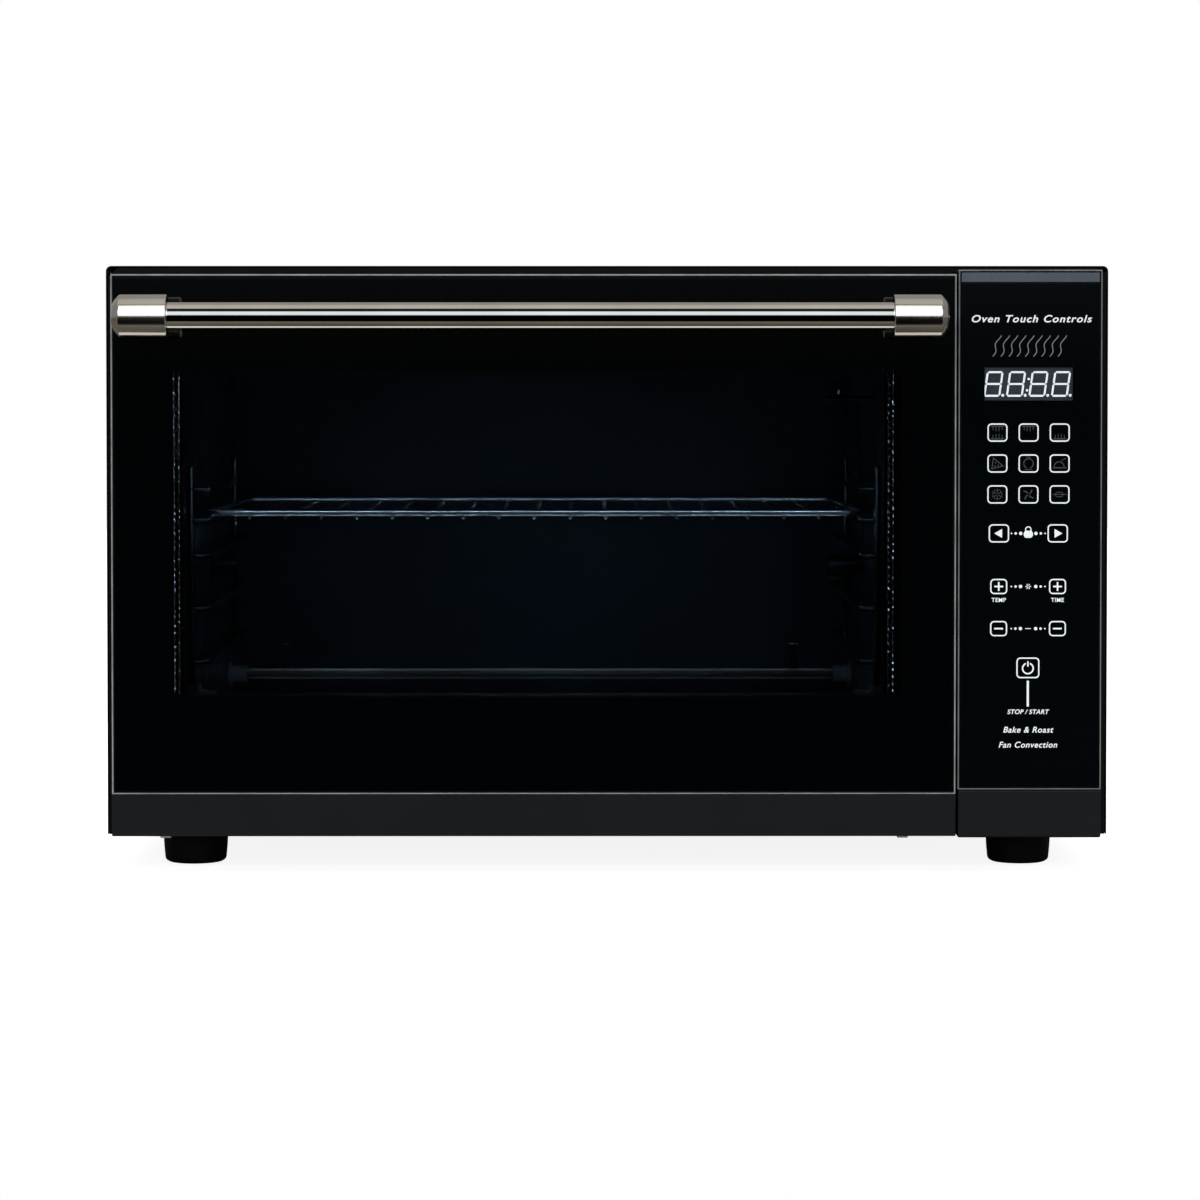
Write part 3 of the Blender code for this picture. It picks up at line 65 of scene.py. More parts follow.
FRAME_WIDTH = 0.6765  # seen at the door's plane
SENSOR = 36.0


def span(node):
    """Lowest and highest corner of a CAD node."""
    low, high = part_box(node)
    return Vector(low), Vector(high)


def middle(node):
    """Centre of a CAD node's box."""
    low, high = span(node)
    return (low + high) / 2


# ---------------------------------------------------------------- materials


class Nodes:
    """A node tree with short ways to add and join nodes."""

    def __init__(self, tree):
        self.nodes = tree.nodes
        self.links = tree.links

    def add(self, kind, inputs=None, **settings):
        """A new node. Inputs take plain values, or another node's sockets."""
        node = self.nodes.new(kind)
        for key, value in settings.items():
            setattr(node, key, value)
        for key, value in (inputs or {}).items():
            if isinstance(value, bpy.types.NodeSocket):
                self.links.new(value, node.inputs[key])
            else:
                node.inputs[key].default_value = value
        return node

    def math(self, operation, first, second=0.0):
        return self.add("ShaderNodeMath", {0: first, 1: second}, operation=operation).outputs[0]

    def mix(self, factor, first, second):
        """A colour between two colours, each of them plain or a socket."""
        inputs = {0: factor}
        for index, value in ((6, first), (7, second)):
            inputs[index] = (*value, 1) if isinstance(value, tuple) else value
        return self.add("ShaderNodeMix", inputs, data_type="RGBA").outputs[2]


class Tree(Nodes):
    """A material's nodes."""

    def __init__(self, name):
        self.material = bpy.data.materials.new(name)
        self.material.use_nodes = True
        super().__init__(self.material.node_tree)
        self.shader = self.nodes["Principled BSDF"]
        self.place = self.nodes.new("ShaderNodeTexCoord").outputs["Object"]

    def axes(self):
        return self.add("ShaderNodeSeparateXYZ", {"Vector": self.place}).outputs

    def stretched(self, scale):
        return self.add("ShaderNodeMapping", {"Vector": self.place, "Scale": scale}).outputs[0]

    def noise(self, scale, detail=3.0, stretch=(1, 1, 1), rough=0.5):
        inputs = {"Vector": self.stretched(stretch), "Scale": scale, "Detail": detail, "Roughness": rough}
        return self.add("ShaderNodeTexNoise", inputs).outputs[0]

    def between(self, value, low=0.0, high=1.0, start=0.3, end=0.7):
        inputs = {"Value": value, "From Min": start, "From Max": end, "To Min": low, "To Max": high}
        return self.add("ShaderNodeMapRange", inputs).outputs[0]

    def to_shader(self, name, value):
        if isinstance(value, bpy.types.NodeSocket):
            self.links.new(value, self.shader.inputs[name])
        elif isinstance(value, tuple):
            self.shader.inputs[name].default_value = (*value, 1)
        else:
            self.shader.inputs[name].default_value = value

    def bump(self, height, strength, distance):
        inputs = {"Height": height, "Strength": strength, "Distance": distance}
        normal = self.add("ShaderNodeBump", inputs).outputs[0]
        self.links.new(normal, self.shader.inputs["Normal"])


def grey(level):
    return (level, level, level)


def plain(name, dark, light, rough, grain, depth, metal=0.0, strength=0.35, specular=0.5):
    """A paint, plastic or plain metal: two tones, uneven gloss and a fine grain."""
    tree = Tree(name)
    tree.to_shader("Base Color", tree.mix(tree.between(tree.noise(9.0, 4.0)), dark, light))
    tree.to_shader("Roughness", tree.between(tree.noise(34.0, 5.0, rough=0.62), *rough))
    tree.to_shader("Metallic", metal)
    tree.to_shader("Specular IOR Level", specular)
    tree.bump(tree.noise(grain, 2.0), strength, depth)
    return tree.material


def polished(name, dark, light, rough, along=(0.02, 1, 1)):
    """Bright metal with the long fine streaks that polishing leaves."""
    tree = Tree(name)
    streaks = tree.noise(1500.0, 3.0, along)
    haze = tree.noise(22.0, 4.0)
    tree.to_shader("Base Color", tree.mix(tree.between(haze), dark, light))
    low = tree.between(haze, rough[0], rough[1])
    tree.to_shader("Roughness", tree.math("ADD", low, tree.between(streaks, 0.0, 0.03)))
    tree.to_shader("Metallic", 1.0)
    tree.bump(streaks, 0.05, 0.00002)
    return tree.material


def box_mask(tree, low, high, soft_x, soft_z):
    """1 inside the box in X and Z, falling to 0 over soft edges."""
    axes = tree.axes()
    mask = None
    for axis, soft in ((0, soft_x), (2, soft_z)):
        first, last = low[axis], high[axis]
        rise = tree.between(axes[axis], 0.0, 1.0, first, first + soft)
        fall = tree.between(axes[axis], 1.0, 0.0, last - soft, last)
        both = tree.math("MULTIPLY", rise, fall)
        mask = both if mask is None else tree.math("MULTIPLY", mask, both)
    return mask


def printed_glass(name, low, high, soft, tint, ink):
    """Black-printed glass that is clear inside the box, where the print fades out in dots."""
    tree = Tree(name)
    faded = box_mask(tree, low, high, *soft)
    grid = {"Vector": tree.place, "Scale": DOTS_PER_METRE, "Randomness": 0.0}
    dots = tree.add("ShaderNodeTexVoronoi", grid)
    dot_size = tree.math("MULTIPLY", dots.outputs[0], 1.35)
    clear = tree.math("GREATER_THAN", faded, dot_size)
    tree.to_shader("Base Color", tree.mix(clear, ink, tint))
    tree.to_shader("Transmission Weight", clear)
    smears = tree.noise(14.0, 5.0, (1, 1, 2.4), 0.6)
    tree.to_shader("Roughness", tree.between(smears, 0.008, 0.02))
    tree.to_shader("Specular IOR Level", 0.28)
    tree.to_shader("IOR", 1.45)
    ripple = tree.noise(3.0, 1.0)
    tree.bump(ripple, 0.02, 0.0002)
    return tree.material


def clear_glass(name, tint, rough=0.02):
    tree = Tree(name)
    haze = tree.noise(30.0, 5.0, rough=0.6)
    darker = tuple(c * 0.9 for c in tint)
    tree.to_shader("Base Color", tree.mix(tree.between(haze), tint, darker))
    tree.to_shader("Roughness", tree.between(haze, rough * 0.5, rough * 1.5))
    tree.to_shader("Transmission Weight", 1.0)
    tree.to_shader("IOR", 1.45)
    return tree.material


def galvanised():
    """Zinc-coated sheet with its crystal pattern."""
    tree = Tree("galvanised_sheet")
    cells = tree.add("ShaderNodeTexVoronoi", {"Vector": tree.place, "Scale": 190.0})
    tone = tree.add("ShaderNodeSeparateColor", {0: cells.outputs["Color"]}).outputs[0]
    tree.to_shader("Base Color", tree.mix(tone, (0.30, 0.31, 0.32), (0.44, 0.45, 0.46)))
    tree.to_shader("Roughness", tree.between(tone, 0.28, 0.5, 0.0, 1.0))
    tree.to_shader("Metallic", 1.0)
    tree.bump(tree.noise(600.0, 2.0), 0.2, 0.00003)
    return tree.material


def speckled_enamel():
    """Dark oven enamel with pale specks."""
    tree = Tree("oven_enamel")
    specks = tree.between(tree.noise(900.0, 2.0), 0.0, 1.0, 0.64, 0.70)
    clouds = tree.between(tree.noise(5.0, 3.0))
    base = tree.mix(clouds, (0.008, 0.012, 0.016), (0.015, 0.021, 0.027))
    tree.to_shader("Base Color", tree.mix(specks, base, (0.07, 0.08, 0.09)))
    tree.to_shader("Roughness", tree.between(tree.noise(40.0, 4.0), 0.28, 0.5))
    tree.bump(tree.noise(260.0, 3.0), 0.3, 0.00008)
    return tree.material


def heat_tinted():
    tree = Tree("heater_sheath")
    tint = tree.noise(30.0, 3.0, (0.4, 1, 1))
    tones = tree.mix(tree.between(tint), (0.11, 0.10, 0.095), (0.25, 0.24, 0.22))
    tree.to_shader("Base Color", tones)
    tree.to_shader("Roughness", tree.between(tree.noise(300.0, 3.0), 0.32, 0.55))
    tree.to_shader("Metallic", 0.8)
    tree.bump(tree.noise(1400.0, 2.0, (0.1, 1, 1)), 0.3, 0.00003)
    return tree.material


def paint_with_rim_highlight(name, node, rim, inside, bright):
    """Black paint in two tones, with a painted highlight along the outermost edge of a frame's front face."""
    tree = Tree(name)
    low, high = span(node)
    margin = Vector((rim, 0, rim))
    covered = box_mask(tree, low + margin, high - margin, 0.0002, 0.0002)
    depth = tree.axes()[1]
    behind = tree.math("GREATER_THAN", depth, low.y + RIM_DEPTH)
    patches = tree.between(tree.noise(60.0, 4.0))
    # painted highlight: a pale line, in patches, where light would catch the frame's outer edge
    painted_highlight = tree.mix(patches, tuple(c * 0.6 for c in bright), bright)
    tones = tree.between(tree.noise(9.0, 4.0))
    paint = tree.mix(tones, inside, tuple(c * 1.5 for c in inside))
    dark = tree.math("MAXIMUM", covered, behind)
    tree.to_shader("Base Color", tree.mix(dark, painted_highlight, paint))
    tree.to_shader("Roughness", tree.between(tree.noise(34.0, 5.0), 0.25, 0.38))
    tree.to_shader("Specular IOR Level", 0.4)
    tree.bump(tree.noise(1300.0, 2.0), 0.3, 0.00002)
    return tree.material


def braided_fibre():
    """Dark glass fibre rope with bare steel wire showing in short lengths."""
    tree = Tree("braided_fibre")
    strands = tree.noise(1600.0, 2.0)
    axes = tree.axes()
    along = tree.math("DIVIDE", tree.math("ADD", axes[0], axes[2]), STRAND_PITCH)
    wire = tree.math("LESS_THAN", tree.math("FRACT", along), 0.34)
    bare = tree.math("GREATER_THAN", tree.noise(600.0, 2.0), 0.52)
    steel = tree.mix(tree.between(strands), (0.60, 0.60, 0.60), (0.85, 0.86, 0.87))
    tree.to_shader("Base Color", tree.mix(tree.math("MULTIPLY", wire, bare), (0.004, 0.004, 0.004), steel))
    tree.to_shader("Roughness", tree.between(strands, 0.18, 0.12))
    tree.to_shader("Metallic", 1.0)
    tree.bump(strands, 0.12, 0.00003)
    return tree.material


def circuit_board():
    tree = Tree("circuit_board")
    tracks = tree.add("ShaderNodeTexBrick", {"Vector": tree.place, "Scale": 260.0, "Mortar Size": 0.06})
    tree.to_shader("Base Color", tree.mix(tracks.outputs[1], (0.012, 0.09, 0.035), (0.02, 0.16, 0.06)))
    tree.to_shader("Roughness", tree.between(tree.noise(60.0), 0.3, 0.5))
    tree.bump(tracks.outputs[1], 0.3, 0.00004)
    return tree.material


def lit(name, colour, strength):
    """Something that shines a little: the lit segments and the display's filter, and the print, whose glow is
    painted light that brightens it.
    """
    tree = Tree(name)
    uneven = tree.between(tree.noise(260.0, 2.0), 0.86, 1.0)
    tree.to_shader("Base Color", colour)
    tree.to_shader("Roughness", tree.between(tree.noise(400.0), 0.4, 0.55))
    tree.to_shader("Emission Color", tree.mix(uneven, tuple(c * 0.5 for c in colour), colour))
    tree.to_shader("Emission Strength", strength)
    return tree.material


glass_low = span("door_glass")[0]
seal_low, seal_high = span("door_gasket")
display_low, display_high = span("display_module")

FINISH = {
    "enamel": plain(
        "cover_enamel", grey(0.0022), (0.0036, 0.0036, 0.0034), (0.11, 0.19), 520.0, 0.00004, specular=0.45
    ),
    "satin": plain(
        "satin_paint", (0.004, 0.005, 0.0076), (0.0058, 0.007, 0.01), (0.36, 0.48), 1300.0, 0.00003,
        specular=0.35,
    ),
    "door_glass": printed_glass(
        "door_glass_printed",
        Vector((seal_low.x - 0.0010, 0, seal_low.z + 0.034)),
        Vector((seal_high.x + 0.0045, 0, seal_high.z - 0.021)),
        (0.003, 0.012),
        (0.34, 0.42, 0.50),
        (0.0013, 0.0018, 0.0023),
    ),
    "panel_glass": printed_glass(
        "panel_glass_printed",
        display_low,
        display_high,
        (0.0003, 0.0003),
        (0.9, 0.9, 0.92),
        (0.0020, 0.0040, 0.0052),
    ),
    "pane": clear_glass("inner_pane", (0.80, 0.84, 0.86)),
    "lamp_glass": clear_glass("lamp_glass", (0.86, 0.88, 0.88), 0.12),
    "nickel": polished("polished_nickel", (0.58, 0.56, 0.53), (0.68, 0.66, 0.63), (0.03, 0.06)),
    # the caps and necks: the bar's nickel, rougher and with a darker base colour, which is painted shade
    "nickel_painted_shade": polished(
        "nickel_painted_shade", (0.52, 0.50, 0.465), (0.60, 0.58, 0.54), (0.13, 0.18), (1, 1, 1)
    ),
    # the guides: the rack's plated wire with a much darker base colour, which is painted shade
    "guide_wire_painted_shade": polished("guide_wire_painted_shade", (0.16, 0.165, 0.17), (0.30, 0.305, 0.31), (0.10, 0.14)),
    "chrome": polished("plated_wire", (0.66, 0.68, 0.70), (0.78, 0.79, 0.81), (0.10, 0.14)),
    "strip": polished("anodised_strip", (0.15, 0.167, 0.20), (0.20, 0.22, 0.26), (0.30, 0.38)),
    # the door's and the panel's frames carry a painted highlight along their outer front edge
    "door_edge": paint_with_rim_highlight(
        "door_edge_paint", "door_frame", 0.0007, (0.003, 0.003, 0.0032), (0.64, 0.64, 0.65)
    ),
    "panel_edge": paint_with_rim_highlight(
        "panel_edge_paint", "control_housing", 0.0006, (0.003, 0.003, 0.0034), (0.36, 0.365, 0.375)
    ),
    "zinc": galvanised(),
    "oven": speckled_enamel(),
    "sheath": heat_tinted(),
    "braid": braided_fibre(),
    "board": circuit_board(),
    "rubber": plain(
        "foot_rubber", grey(0.0012), grey(0.003), (0.55, 0.75), 900.0, 0.0001, strength=0.6, specular=0.2
    ),
    # the ceramic of the heater bushes and the lamp holder is dark grey: painted shade on a pale ceramic
    "ceramic": plain("bush_ceramic_painted_shade", grey(0.10), grey(0.16), (0.5, 0.7), 800.0, 0.0001, strength=0.6),
    "steel": plain(
        "motor_steel", (0.20, 0.20, 0.21), (0.32, 0.32, 0.33), (0.3, 0.45), 600.0, 0.00004, metal=1.0
    ),
    # the spit coupling and rest: motor steel with a darker base colour, which is painted shade
    "steel_painted_shade": plain(
        "steel_painted_shade", (0.13, 0.13, 0.132), (0.20, 0.20, 0.203), (0.3, 0.45), 600.0, 0.00004, metal=1.0
    ),
    "bracket": plain("plated_bracket", grey(0.72), grey(0.84), (0.35, 0.5), 600.0, 0.00004),
    "black_plastic": plain(
        "black_plastic", (0.010, 0.010, 0.011), (0.018, 0.018, 0.019), (0.4, 0.55), 1500.0, 0.00005
    ),
    "inner_black": plain(
        "inner_black_paint", (0.0014, 0.0014, 0.0015), (0.0024, 0.0024, 0.0026), (0.5, 0.65), 800.0, 0.00004,
        specular=0.2,
    ),
    "filter": lit("display_filter", (0.046, 0.056, 0.066), 0.45),
    "digit": lit("lit_digit", (0.92, 0.96, 1.0), 1.0),
    # the three prints glow by emission: painted light that makes the print read brighter, not a lamp
    "print": lit("white_print", (0.82, 0.84, 0.84), 0.62),
    "dim_print": lit("dim_print", (0.22, 0.225, 0.23), 0.5),
    "faint_print": lit("faint_print", (0.05, 0.054, 0.056), 0.55),
}


# ---------------------------------------------------------------- shapes


def linked(name, bm):
    """An object in the scene, with this mesh."""
    mesh = bpy.data.meshes.new(name)
    bm.to_mesh(mesh)
    bm.free()
    shown = bpy.data.objects.new(name, mesh)
    bpy.context.scene.collection.objects.link(shown)
    return shown


def new_piece(name, bm, material, body, slot=None, replaces=(), smooth=35, bevel=0.0, segments=2):
    """Finish the mesh as a named piece that rides its body and stands in for the CAD nodes in replaces."""
    bmesh.ops.recalc_face_normals(bm, faces=bm.faces)
    piece = linked(name, bm)
    piece.data.shade_smooth()
    piece.data.set_sharp_from_angle(angle=math.radians(smooth))
    piece.data.materials.append(FINISH[material])
    if bevel:
        round_edges(piece, bevel, segments)
    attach(piece, body)
    if replaces:
        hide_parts(*replaces)
    return piece


def round_edges(piece, width, segments):
    modifier = piece.modifiers.new("rounded_edges", "BEVEL")
    modifier.width = width
    modifier.segments = segments
    modifier.limit_method = "ANGLE"
    modifier.angle_limit = math.radians(38)
    modifier.harden_normals = True


BODY_OF = {node: body for body, nodes in frame["record"]["behaviour"]["bodies"].items() for node in nodes}
SLOT_OF = {part["node"]: part["material_slot"] for part in frame["record"]["subparts"]}


def dressed(node, material, bevel=0.0004, segments=2):
    """The CAD node's own shape, with its edges rounded and a finished surface."""
    source = frame["nodes"][node].data
    bm = bmesh.new()
    corners = [bm.verts.new(v.co) for v in source.vertices]
    for polygon in source.polygons:
        bm.faces.new([corners[i] for i in polygon.vertices])
    bmesh.ops.remove_doubles(bm, verts=bm.verts, dist=2e-6)
    bmesh.ops.dissolve_limit(bm, angle_limit=math.radians(0.5), verts=bm.verts, edges=bm.edges)
    rounding = {"bevel": bevel, "segments": segments}
    return new_piece(node + "_shown", bm, material, BODY_OF[node], SLOT_OF[node], (node,), **rounding)


def ring_points(centre, radius, axis, count):
    first, second = [(1, 2), (2, 0), (0, 1)][axis]
    points = []
    for i in range(count):
        angle = math.tau * i / count
        point = Vector(centre)
        point[first] += radius * math.cos(angle)
        point[second] += radius * math.sin(angle)
        points.append(point)
    return points


def add_band(bm, first, second):
    """Faces between two rings of vertices."""
    count = len(first)
    for i in range(count):
        j = (i + 1) % count
        bm.faces.new((first[i], first[j], second[j], second[i]))


def add_turned(bm, centre, axis, stations, count=SEGMENTS, closed=False):
    """Turned solid: stations are (distance along the axis, radius)."""
    rows = []
    for along, radius in stations:
        base = Vector(centre)
        base[axis] += along
        rows.append([bm.verts.new(p) for p in ring_points(base, radius, axis, count)])
    pairs = list(zip(rows, rows[1:]))
    if closed:
        pairs.append((rows[-1], rows[0]))
    else:
        bm.faces.new(rows[0])
        bm.faces.new(rows[-1])
    for first, second in pairs:
        add_band(bm, first, second)


def curve(start, corner, end, steps):
    """Points on the curve that leaves start and reaches end, both towards the corner."""
    parts = [k / steps for k in range(steps + 1)]
    return [start * (1 - t) ** 2 + corner * 2 * t * (1 - t) + end * t * t for t in parts]


def softened(stations, radius, steps=3):
    """A turned profile with its corners rounded."""
    points = [Vector(p) for p in stations]
    result = [points[0]]
    for before, corner, after in zip(points, points[1:], points[2:]):
        reach = min(radius, (before - corner).length * 0.45, (after - corner).length * 0.45)
        start = corner + reach * (before - corner).normalized()
        end = corner + reach * (after - corner).normalized()
        result += curve(start, corner, end, steps)
    result.append(points[-1])
    return [tuple(p) for p in result]


def add_tube(bm, points, radius, sides, closed=False, radius_of=None):
    """Round wire along points, with domed ends. radius_of(row, side) may vary the radius."""
    points = [Vector(p) for p in points]
    count = len(points)
    normal = None
    rows = []
    for i, point in enumerate(points):
        after = points[(i + 1) % count] if closed or i < count - 1 else point
        before = points[i - 1] if closed or i else point
        tangent = (after - before).normalized()
        if normal is None:
            normal = tangent.orthogonal().normalized()
            for axis in (Vector((0, 0, 1)), Vector((0, 1, 0))):
                if abs(tangent.dot(axis)) < 0.7:
                    normal = (axis - tangent * tangent.dot(axis)).normalized()
                    break
        else:
            normal = (normal - tangent * tangent.dot(normal)).normalized()
        side = tangent.cross(normal)
        row = []
        for k in range(sides):
            angle = math.tau * k / sides
            reach = radius_of(i, k) if radius_of else radius
            row.append(bm.verts.new(point + reach * (math.cos(angle) * normal + math.sin(angle) * side)))
        rows.append(row)
    pairs = list(zip(rows, rows[1:]))
    if closed:
        pairs.append((rows[-1], rows[0]))
    else:
        for row, outward in ((rows[0], points[0] - points[1]), (rows[-1], points[-1] - points[-2])):
            centre = sum((v.co for v in row), Vector()) / sides
            last = row
            for degrees in (25, 50, 75):
                lean = math.radians(degrees)
                tip = centre + outward.normalized() * radius * math.sin(lean)
                inner = [bm.verts.new(tip + (v.co - centre) * math.cos(lean)) for v in row]
                pairs.append((last, inner))
                last = inner
            bm.faces.new(last)
    for first, second in pairs:
        add_band(bm, first, second)


def bent(corners, radius, steps=6, closed=False):
    """The path through corners, with each one rounded."""
    corners = [Vector(c) for c in corners]
    path = []
    for i, corner in enumerate(corners):
        if not closed and i in (0, len(corners) - 1):
            path.append(corner)
            continue
        start = corner + radius * (corners[i - 1] - corner).normalized()
        end = corner + radius * (corners[(i + 1) % len(corners)] - corner).normalized()
        path += curve(start, corner, end, steps)
    return path


# ---------------------------------------------------------------- camera, light and floor

door_face = glass_low.y

FLOOR_FRONT = -0.53
FLOOR_STRIPE = (-0.450, -0.405)  # a paler strip of paper, which the handle reflects
FLOOR_GLOW = 0.88  # light that the floor's paper lets through, for the camera
WARM = (1.05, 1.0, 0.93)
COOL = (0.91, 0.99, 1.03)
# The studio's light round the X axis: tint, then degrees above the horizon in front of the door, and level
STUDIO_STRIPS = (
    (WARM, ((-180, 0.30), (-62, 0.22), (-50, 0.04), (-44, 0.0))),
    (COOL, ((0.7, 0.0), (1.4, 0.11), (2.4, 0.12), (4, 0.6), (7, 1.15), (12, 1.3), (33, 1.3))),
    (WARM, ((37, 0.02), (60, 0.02), (65, 0.66), (95, 0.62), (112, 0.38), (180, 0.35))),
)
SIDE_LEVEL = 0.30
HAZE_HEIGHT = 0.165
HAZE_AIM_HEIGHT = 0.155
INNER_TONE = (0.90, 0.97, 1.0)
INNER_LENGTH = 0.37  # of the strips over the rack and the heater
SEAL_STRIP = (0.003, 0.25)
ROD_RADIUS = 0.0016  # of the rack's frame
SCREW_RADIUS = 0.0034
BUSH_RADIUS = 0.0055
COLLAR_RADIUS = 0.008
HEATER_AXIS = 0.008  # from a heater's front, and above a lower heater's lowest point


def make_camera():
    data = bpy.data.cameras.new("camera")
    data.sensor_width = SENSOR
    data.lens = SENSOR * DOOR_PLANE_TO_CAMERA / FRAME_WIDTH
    data.dof.use_dof = False
    data.shift_y = (VIEW_CENTRE_Z - CAMERA_Z + SIGHT_DROP) / FRAME_WIDTH
    camera = bpy.data.objects.new("camera", data)
    bpy.context.scene.collection.objects.link(camera)
    camera.location = (CAMERA_X, door_face - DOOR_PLANE_TO_CAMERA, CAMERA_Z)
    target = Vector((CAMERA_X + SIGHT_SHIFT, door_face, CAMERA_Z - SIGHT_DROP))
    camera.rotation_euler = (target - camera.location).to_track_quat("-Z", "Y").to_euler()
    bpy.context.scene.camera = camera


def make_world():
    """Long strips of soft light round the object, and plain white where the background is seen directly."""
    world = bpy.data.worlds.new("studio")
    bpy.context.scene.world = world
    world.use_nodes = True
    tree = Nodes(world.node_tree)
    place = tree.add("ShaderNodeTexCoord").outputs["Generated"]
    axes = tree.add("ShaderNodeSeparateXYZ", {"Vector": place}).outputs
    angle = tree.math("ARCTAN2", axes[2], tree.math("MULTIPLY", axes[1], -1.0))
    circle = {"Value": angle, "From Min": -math.pi, "From Max": math.pi}
    turn = tree.add("ShaderNodeMapRange", circle).outputs[0]
    strips = tree.add("ShaderNodeValToRGB", {0: turn})
    elements = strips.color_ramp.elements
    stops = [(*stop, tint) for tint, group in STUDIO_STRIPS for stop in group]
    while len(elements) < len(stops):
        elements.new(0.5)
    for element, (degrees, level, tint) in zip(elements, stops):
        element.position = (degrees + 180) / 360
        element.color = (*(level * part for part in tint), 1)
    sides = {"Value": tree.math("ABSOLUTE", axes[0]), "From Min": 0.62, "From Max": 0.86}
    edge = tree.add("ShaderNodeMapRange", sides).outputs[0]
    blended = tree.mix(edge, strips.outputs[0], grey(SIDE_LEVEL))
    seen = tree.add("ShaderNodeLightPath").outputs["Is Camera Ray"]
    colour = tree.mix(seen, blended, grey(1.0))
    tree.links.new(colour, tree.nodes["Background"].inputs["Color"])


def make_floor():
    """White paper that is lit through, so that only contact shadows show on it."""
    bm = bmesh.new()
    corners = [bm.verts.new(p) for p in ((-4, FLOOR_FRONT, 0), (4, FLOOR_FRONT, 0), (4, 5, 0), (-4, 5, 0))]
    bm.faces.new(corners)
    floor = linked("floor", bm)
    tree = Tree("floor_paper")
    tone = tree.mix(tree.between(tree.noise(2.0)), (0.80, 0.80, 0.80), (0.82, 0.82, 0.82))
    tree.to_shader("Base Color", tone)
    tree.to_shader("Roughness", 0.9)
    tree.to_shader("Specular IOR Level", 0.1)
    tree.bump(tree.noise(300.0), 0.05, 0.0002)
    path = tree.add("ShaderNodeLightPath")
    tree.to_shader("Emission Color", (1.0, 1.0, 1.0))
    tree.to_shader("Emission Strength", tree.math("MULTIPLY", path.outputs["Is Camera Ray"], FLOOR_GLOW))
    depth = tree.axes()[1]
    past_front = tree.math("GREATER_THAN", depth, FLOOR_STRIPE[0])
    past_rear = tree.math("GREATER_THAN", depth, FLOOR_STRIPE[1])
    paler = tree.mix(past_front, (0.03, 0.028, 0.025), (0.40, 0.37, 0.33))
    tone = tree.mix(past_rear, paler, (0.22, 0.20, 0.165))
    dimmed = tree.add("ShaderNodeBsdfDiffuse", {"Color": tone})
    chosen = tree.add("ShaderNodeMixShader")
    tree.links.new(path.outputs["Is Glossy Ray"], chosen.inputs[0])
    tree.links.new(tree.shader.outputs[0], chosen.inputs[1])
    tree.links.new(dimmed.outputs[0], chosen.inputs[2])
    tree.links.new(chosen.outputs[0], tree.nodes["Material Output"].inputs[0])
    floor.data.materials.append(tree.material)


def area_light(name, place, aim, size, power, colour=(1, 1, 1)):
    data = bpy.data.lights.new(name, "AREA")
    data.shape = "RECTANGLE"
    data.size, data.size_y = size
    data.energy = power
    data.color = colour
    light = bpy.data.objects.new(name, data)
    bpy.context.scene.collection.objects.link(light)
    light.location = place
    light.rotation_euler = (Vector(aim) - Vector(place)).to_track_quat("-Z", "Y").to_euler()
    return light


make_camera()
make_world()
make_floor()
LINER_WALL = 0.0006
LINER_FLANGE = 0.007
liner_low, liner_high = span("oven_liner")
cavity_left = liner_low.x + LINER_FLANGE + LINER_WALL
cavity_right = liner_high.x - LINER_FLANGE - LINER_WALL
centre_x = (liner_low.x + liner_high.x) / 2
rack_front = span("wire_rack")[0].y
overhead = area_light("overhead", (0, 0.3, 2.4), (0, 0.0, 0), (2.6, 2.0), 30)
overhead.visible_glossy = False
haze_place = (centre_x, rack_front, HAZE_HEIGHT)
haze_aim = (centre_x, liner_high.y, HAZE_AIM_HEIGHT)
haze = area_light("inside_haze", haze_place, haze_aim, (0.22, 0.05), 0.26, (0.70, 0.88, 1.0))
haze.visible_camera = False
haze.visible_glossy = False


def glint(name, place, aim, size, power, colour, pieces):
    """A light that reaches these pieces only."""
    light = area_light(name, place, aim, size, power, colour)
    light.visible_camera = False
    group = bpy.data.collections.new(name + "_pieces")
    for piece in pieces:
        group.objects.link(piece)
    light.light_linking.receiver_collection = group


def make_handle_glints(bar, caps):
    """A strip under the handle for the line along its underside, and one above the front for the caps."""
    low, high = span("handle_bar")
    centre = (low + high) / 2
    drop = 0.055
    under = centre + Vector((0, drop * math.tan(math.radians(18)), -drop))
    size = (high.x - low.x + 0.07, 0.024)
    glint("under_glint", under, centre, size, 0.036, (1.0, 0.97, 0.88), [bar, *caps])
    above = centre + Vector((0, -0.535, 0.272))
    glint("cap_glint", above, centre, (1.0, 0.66), 4.0, (1.0, 0.99, 0.97), caps)


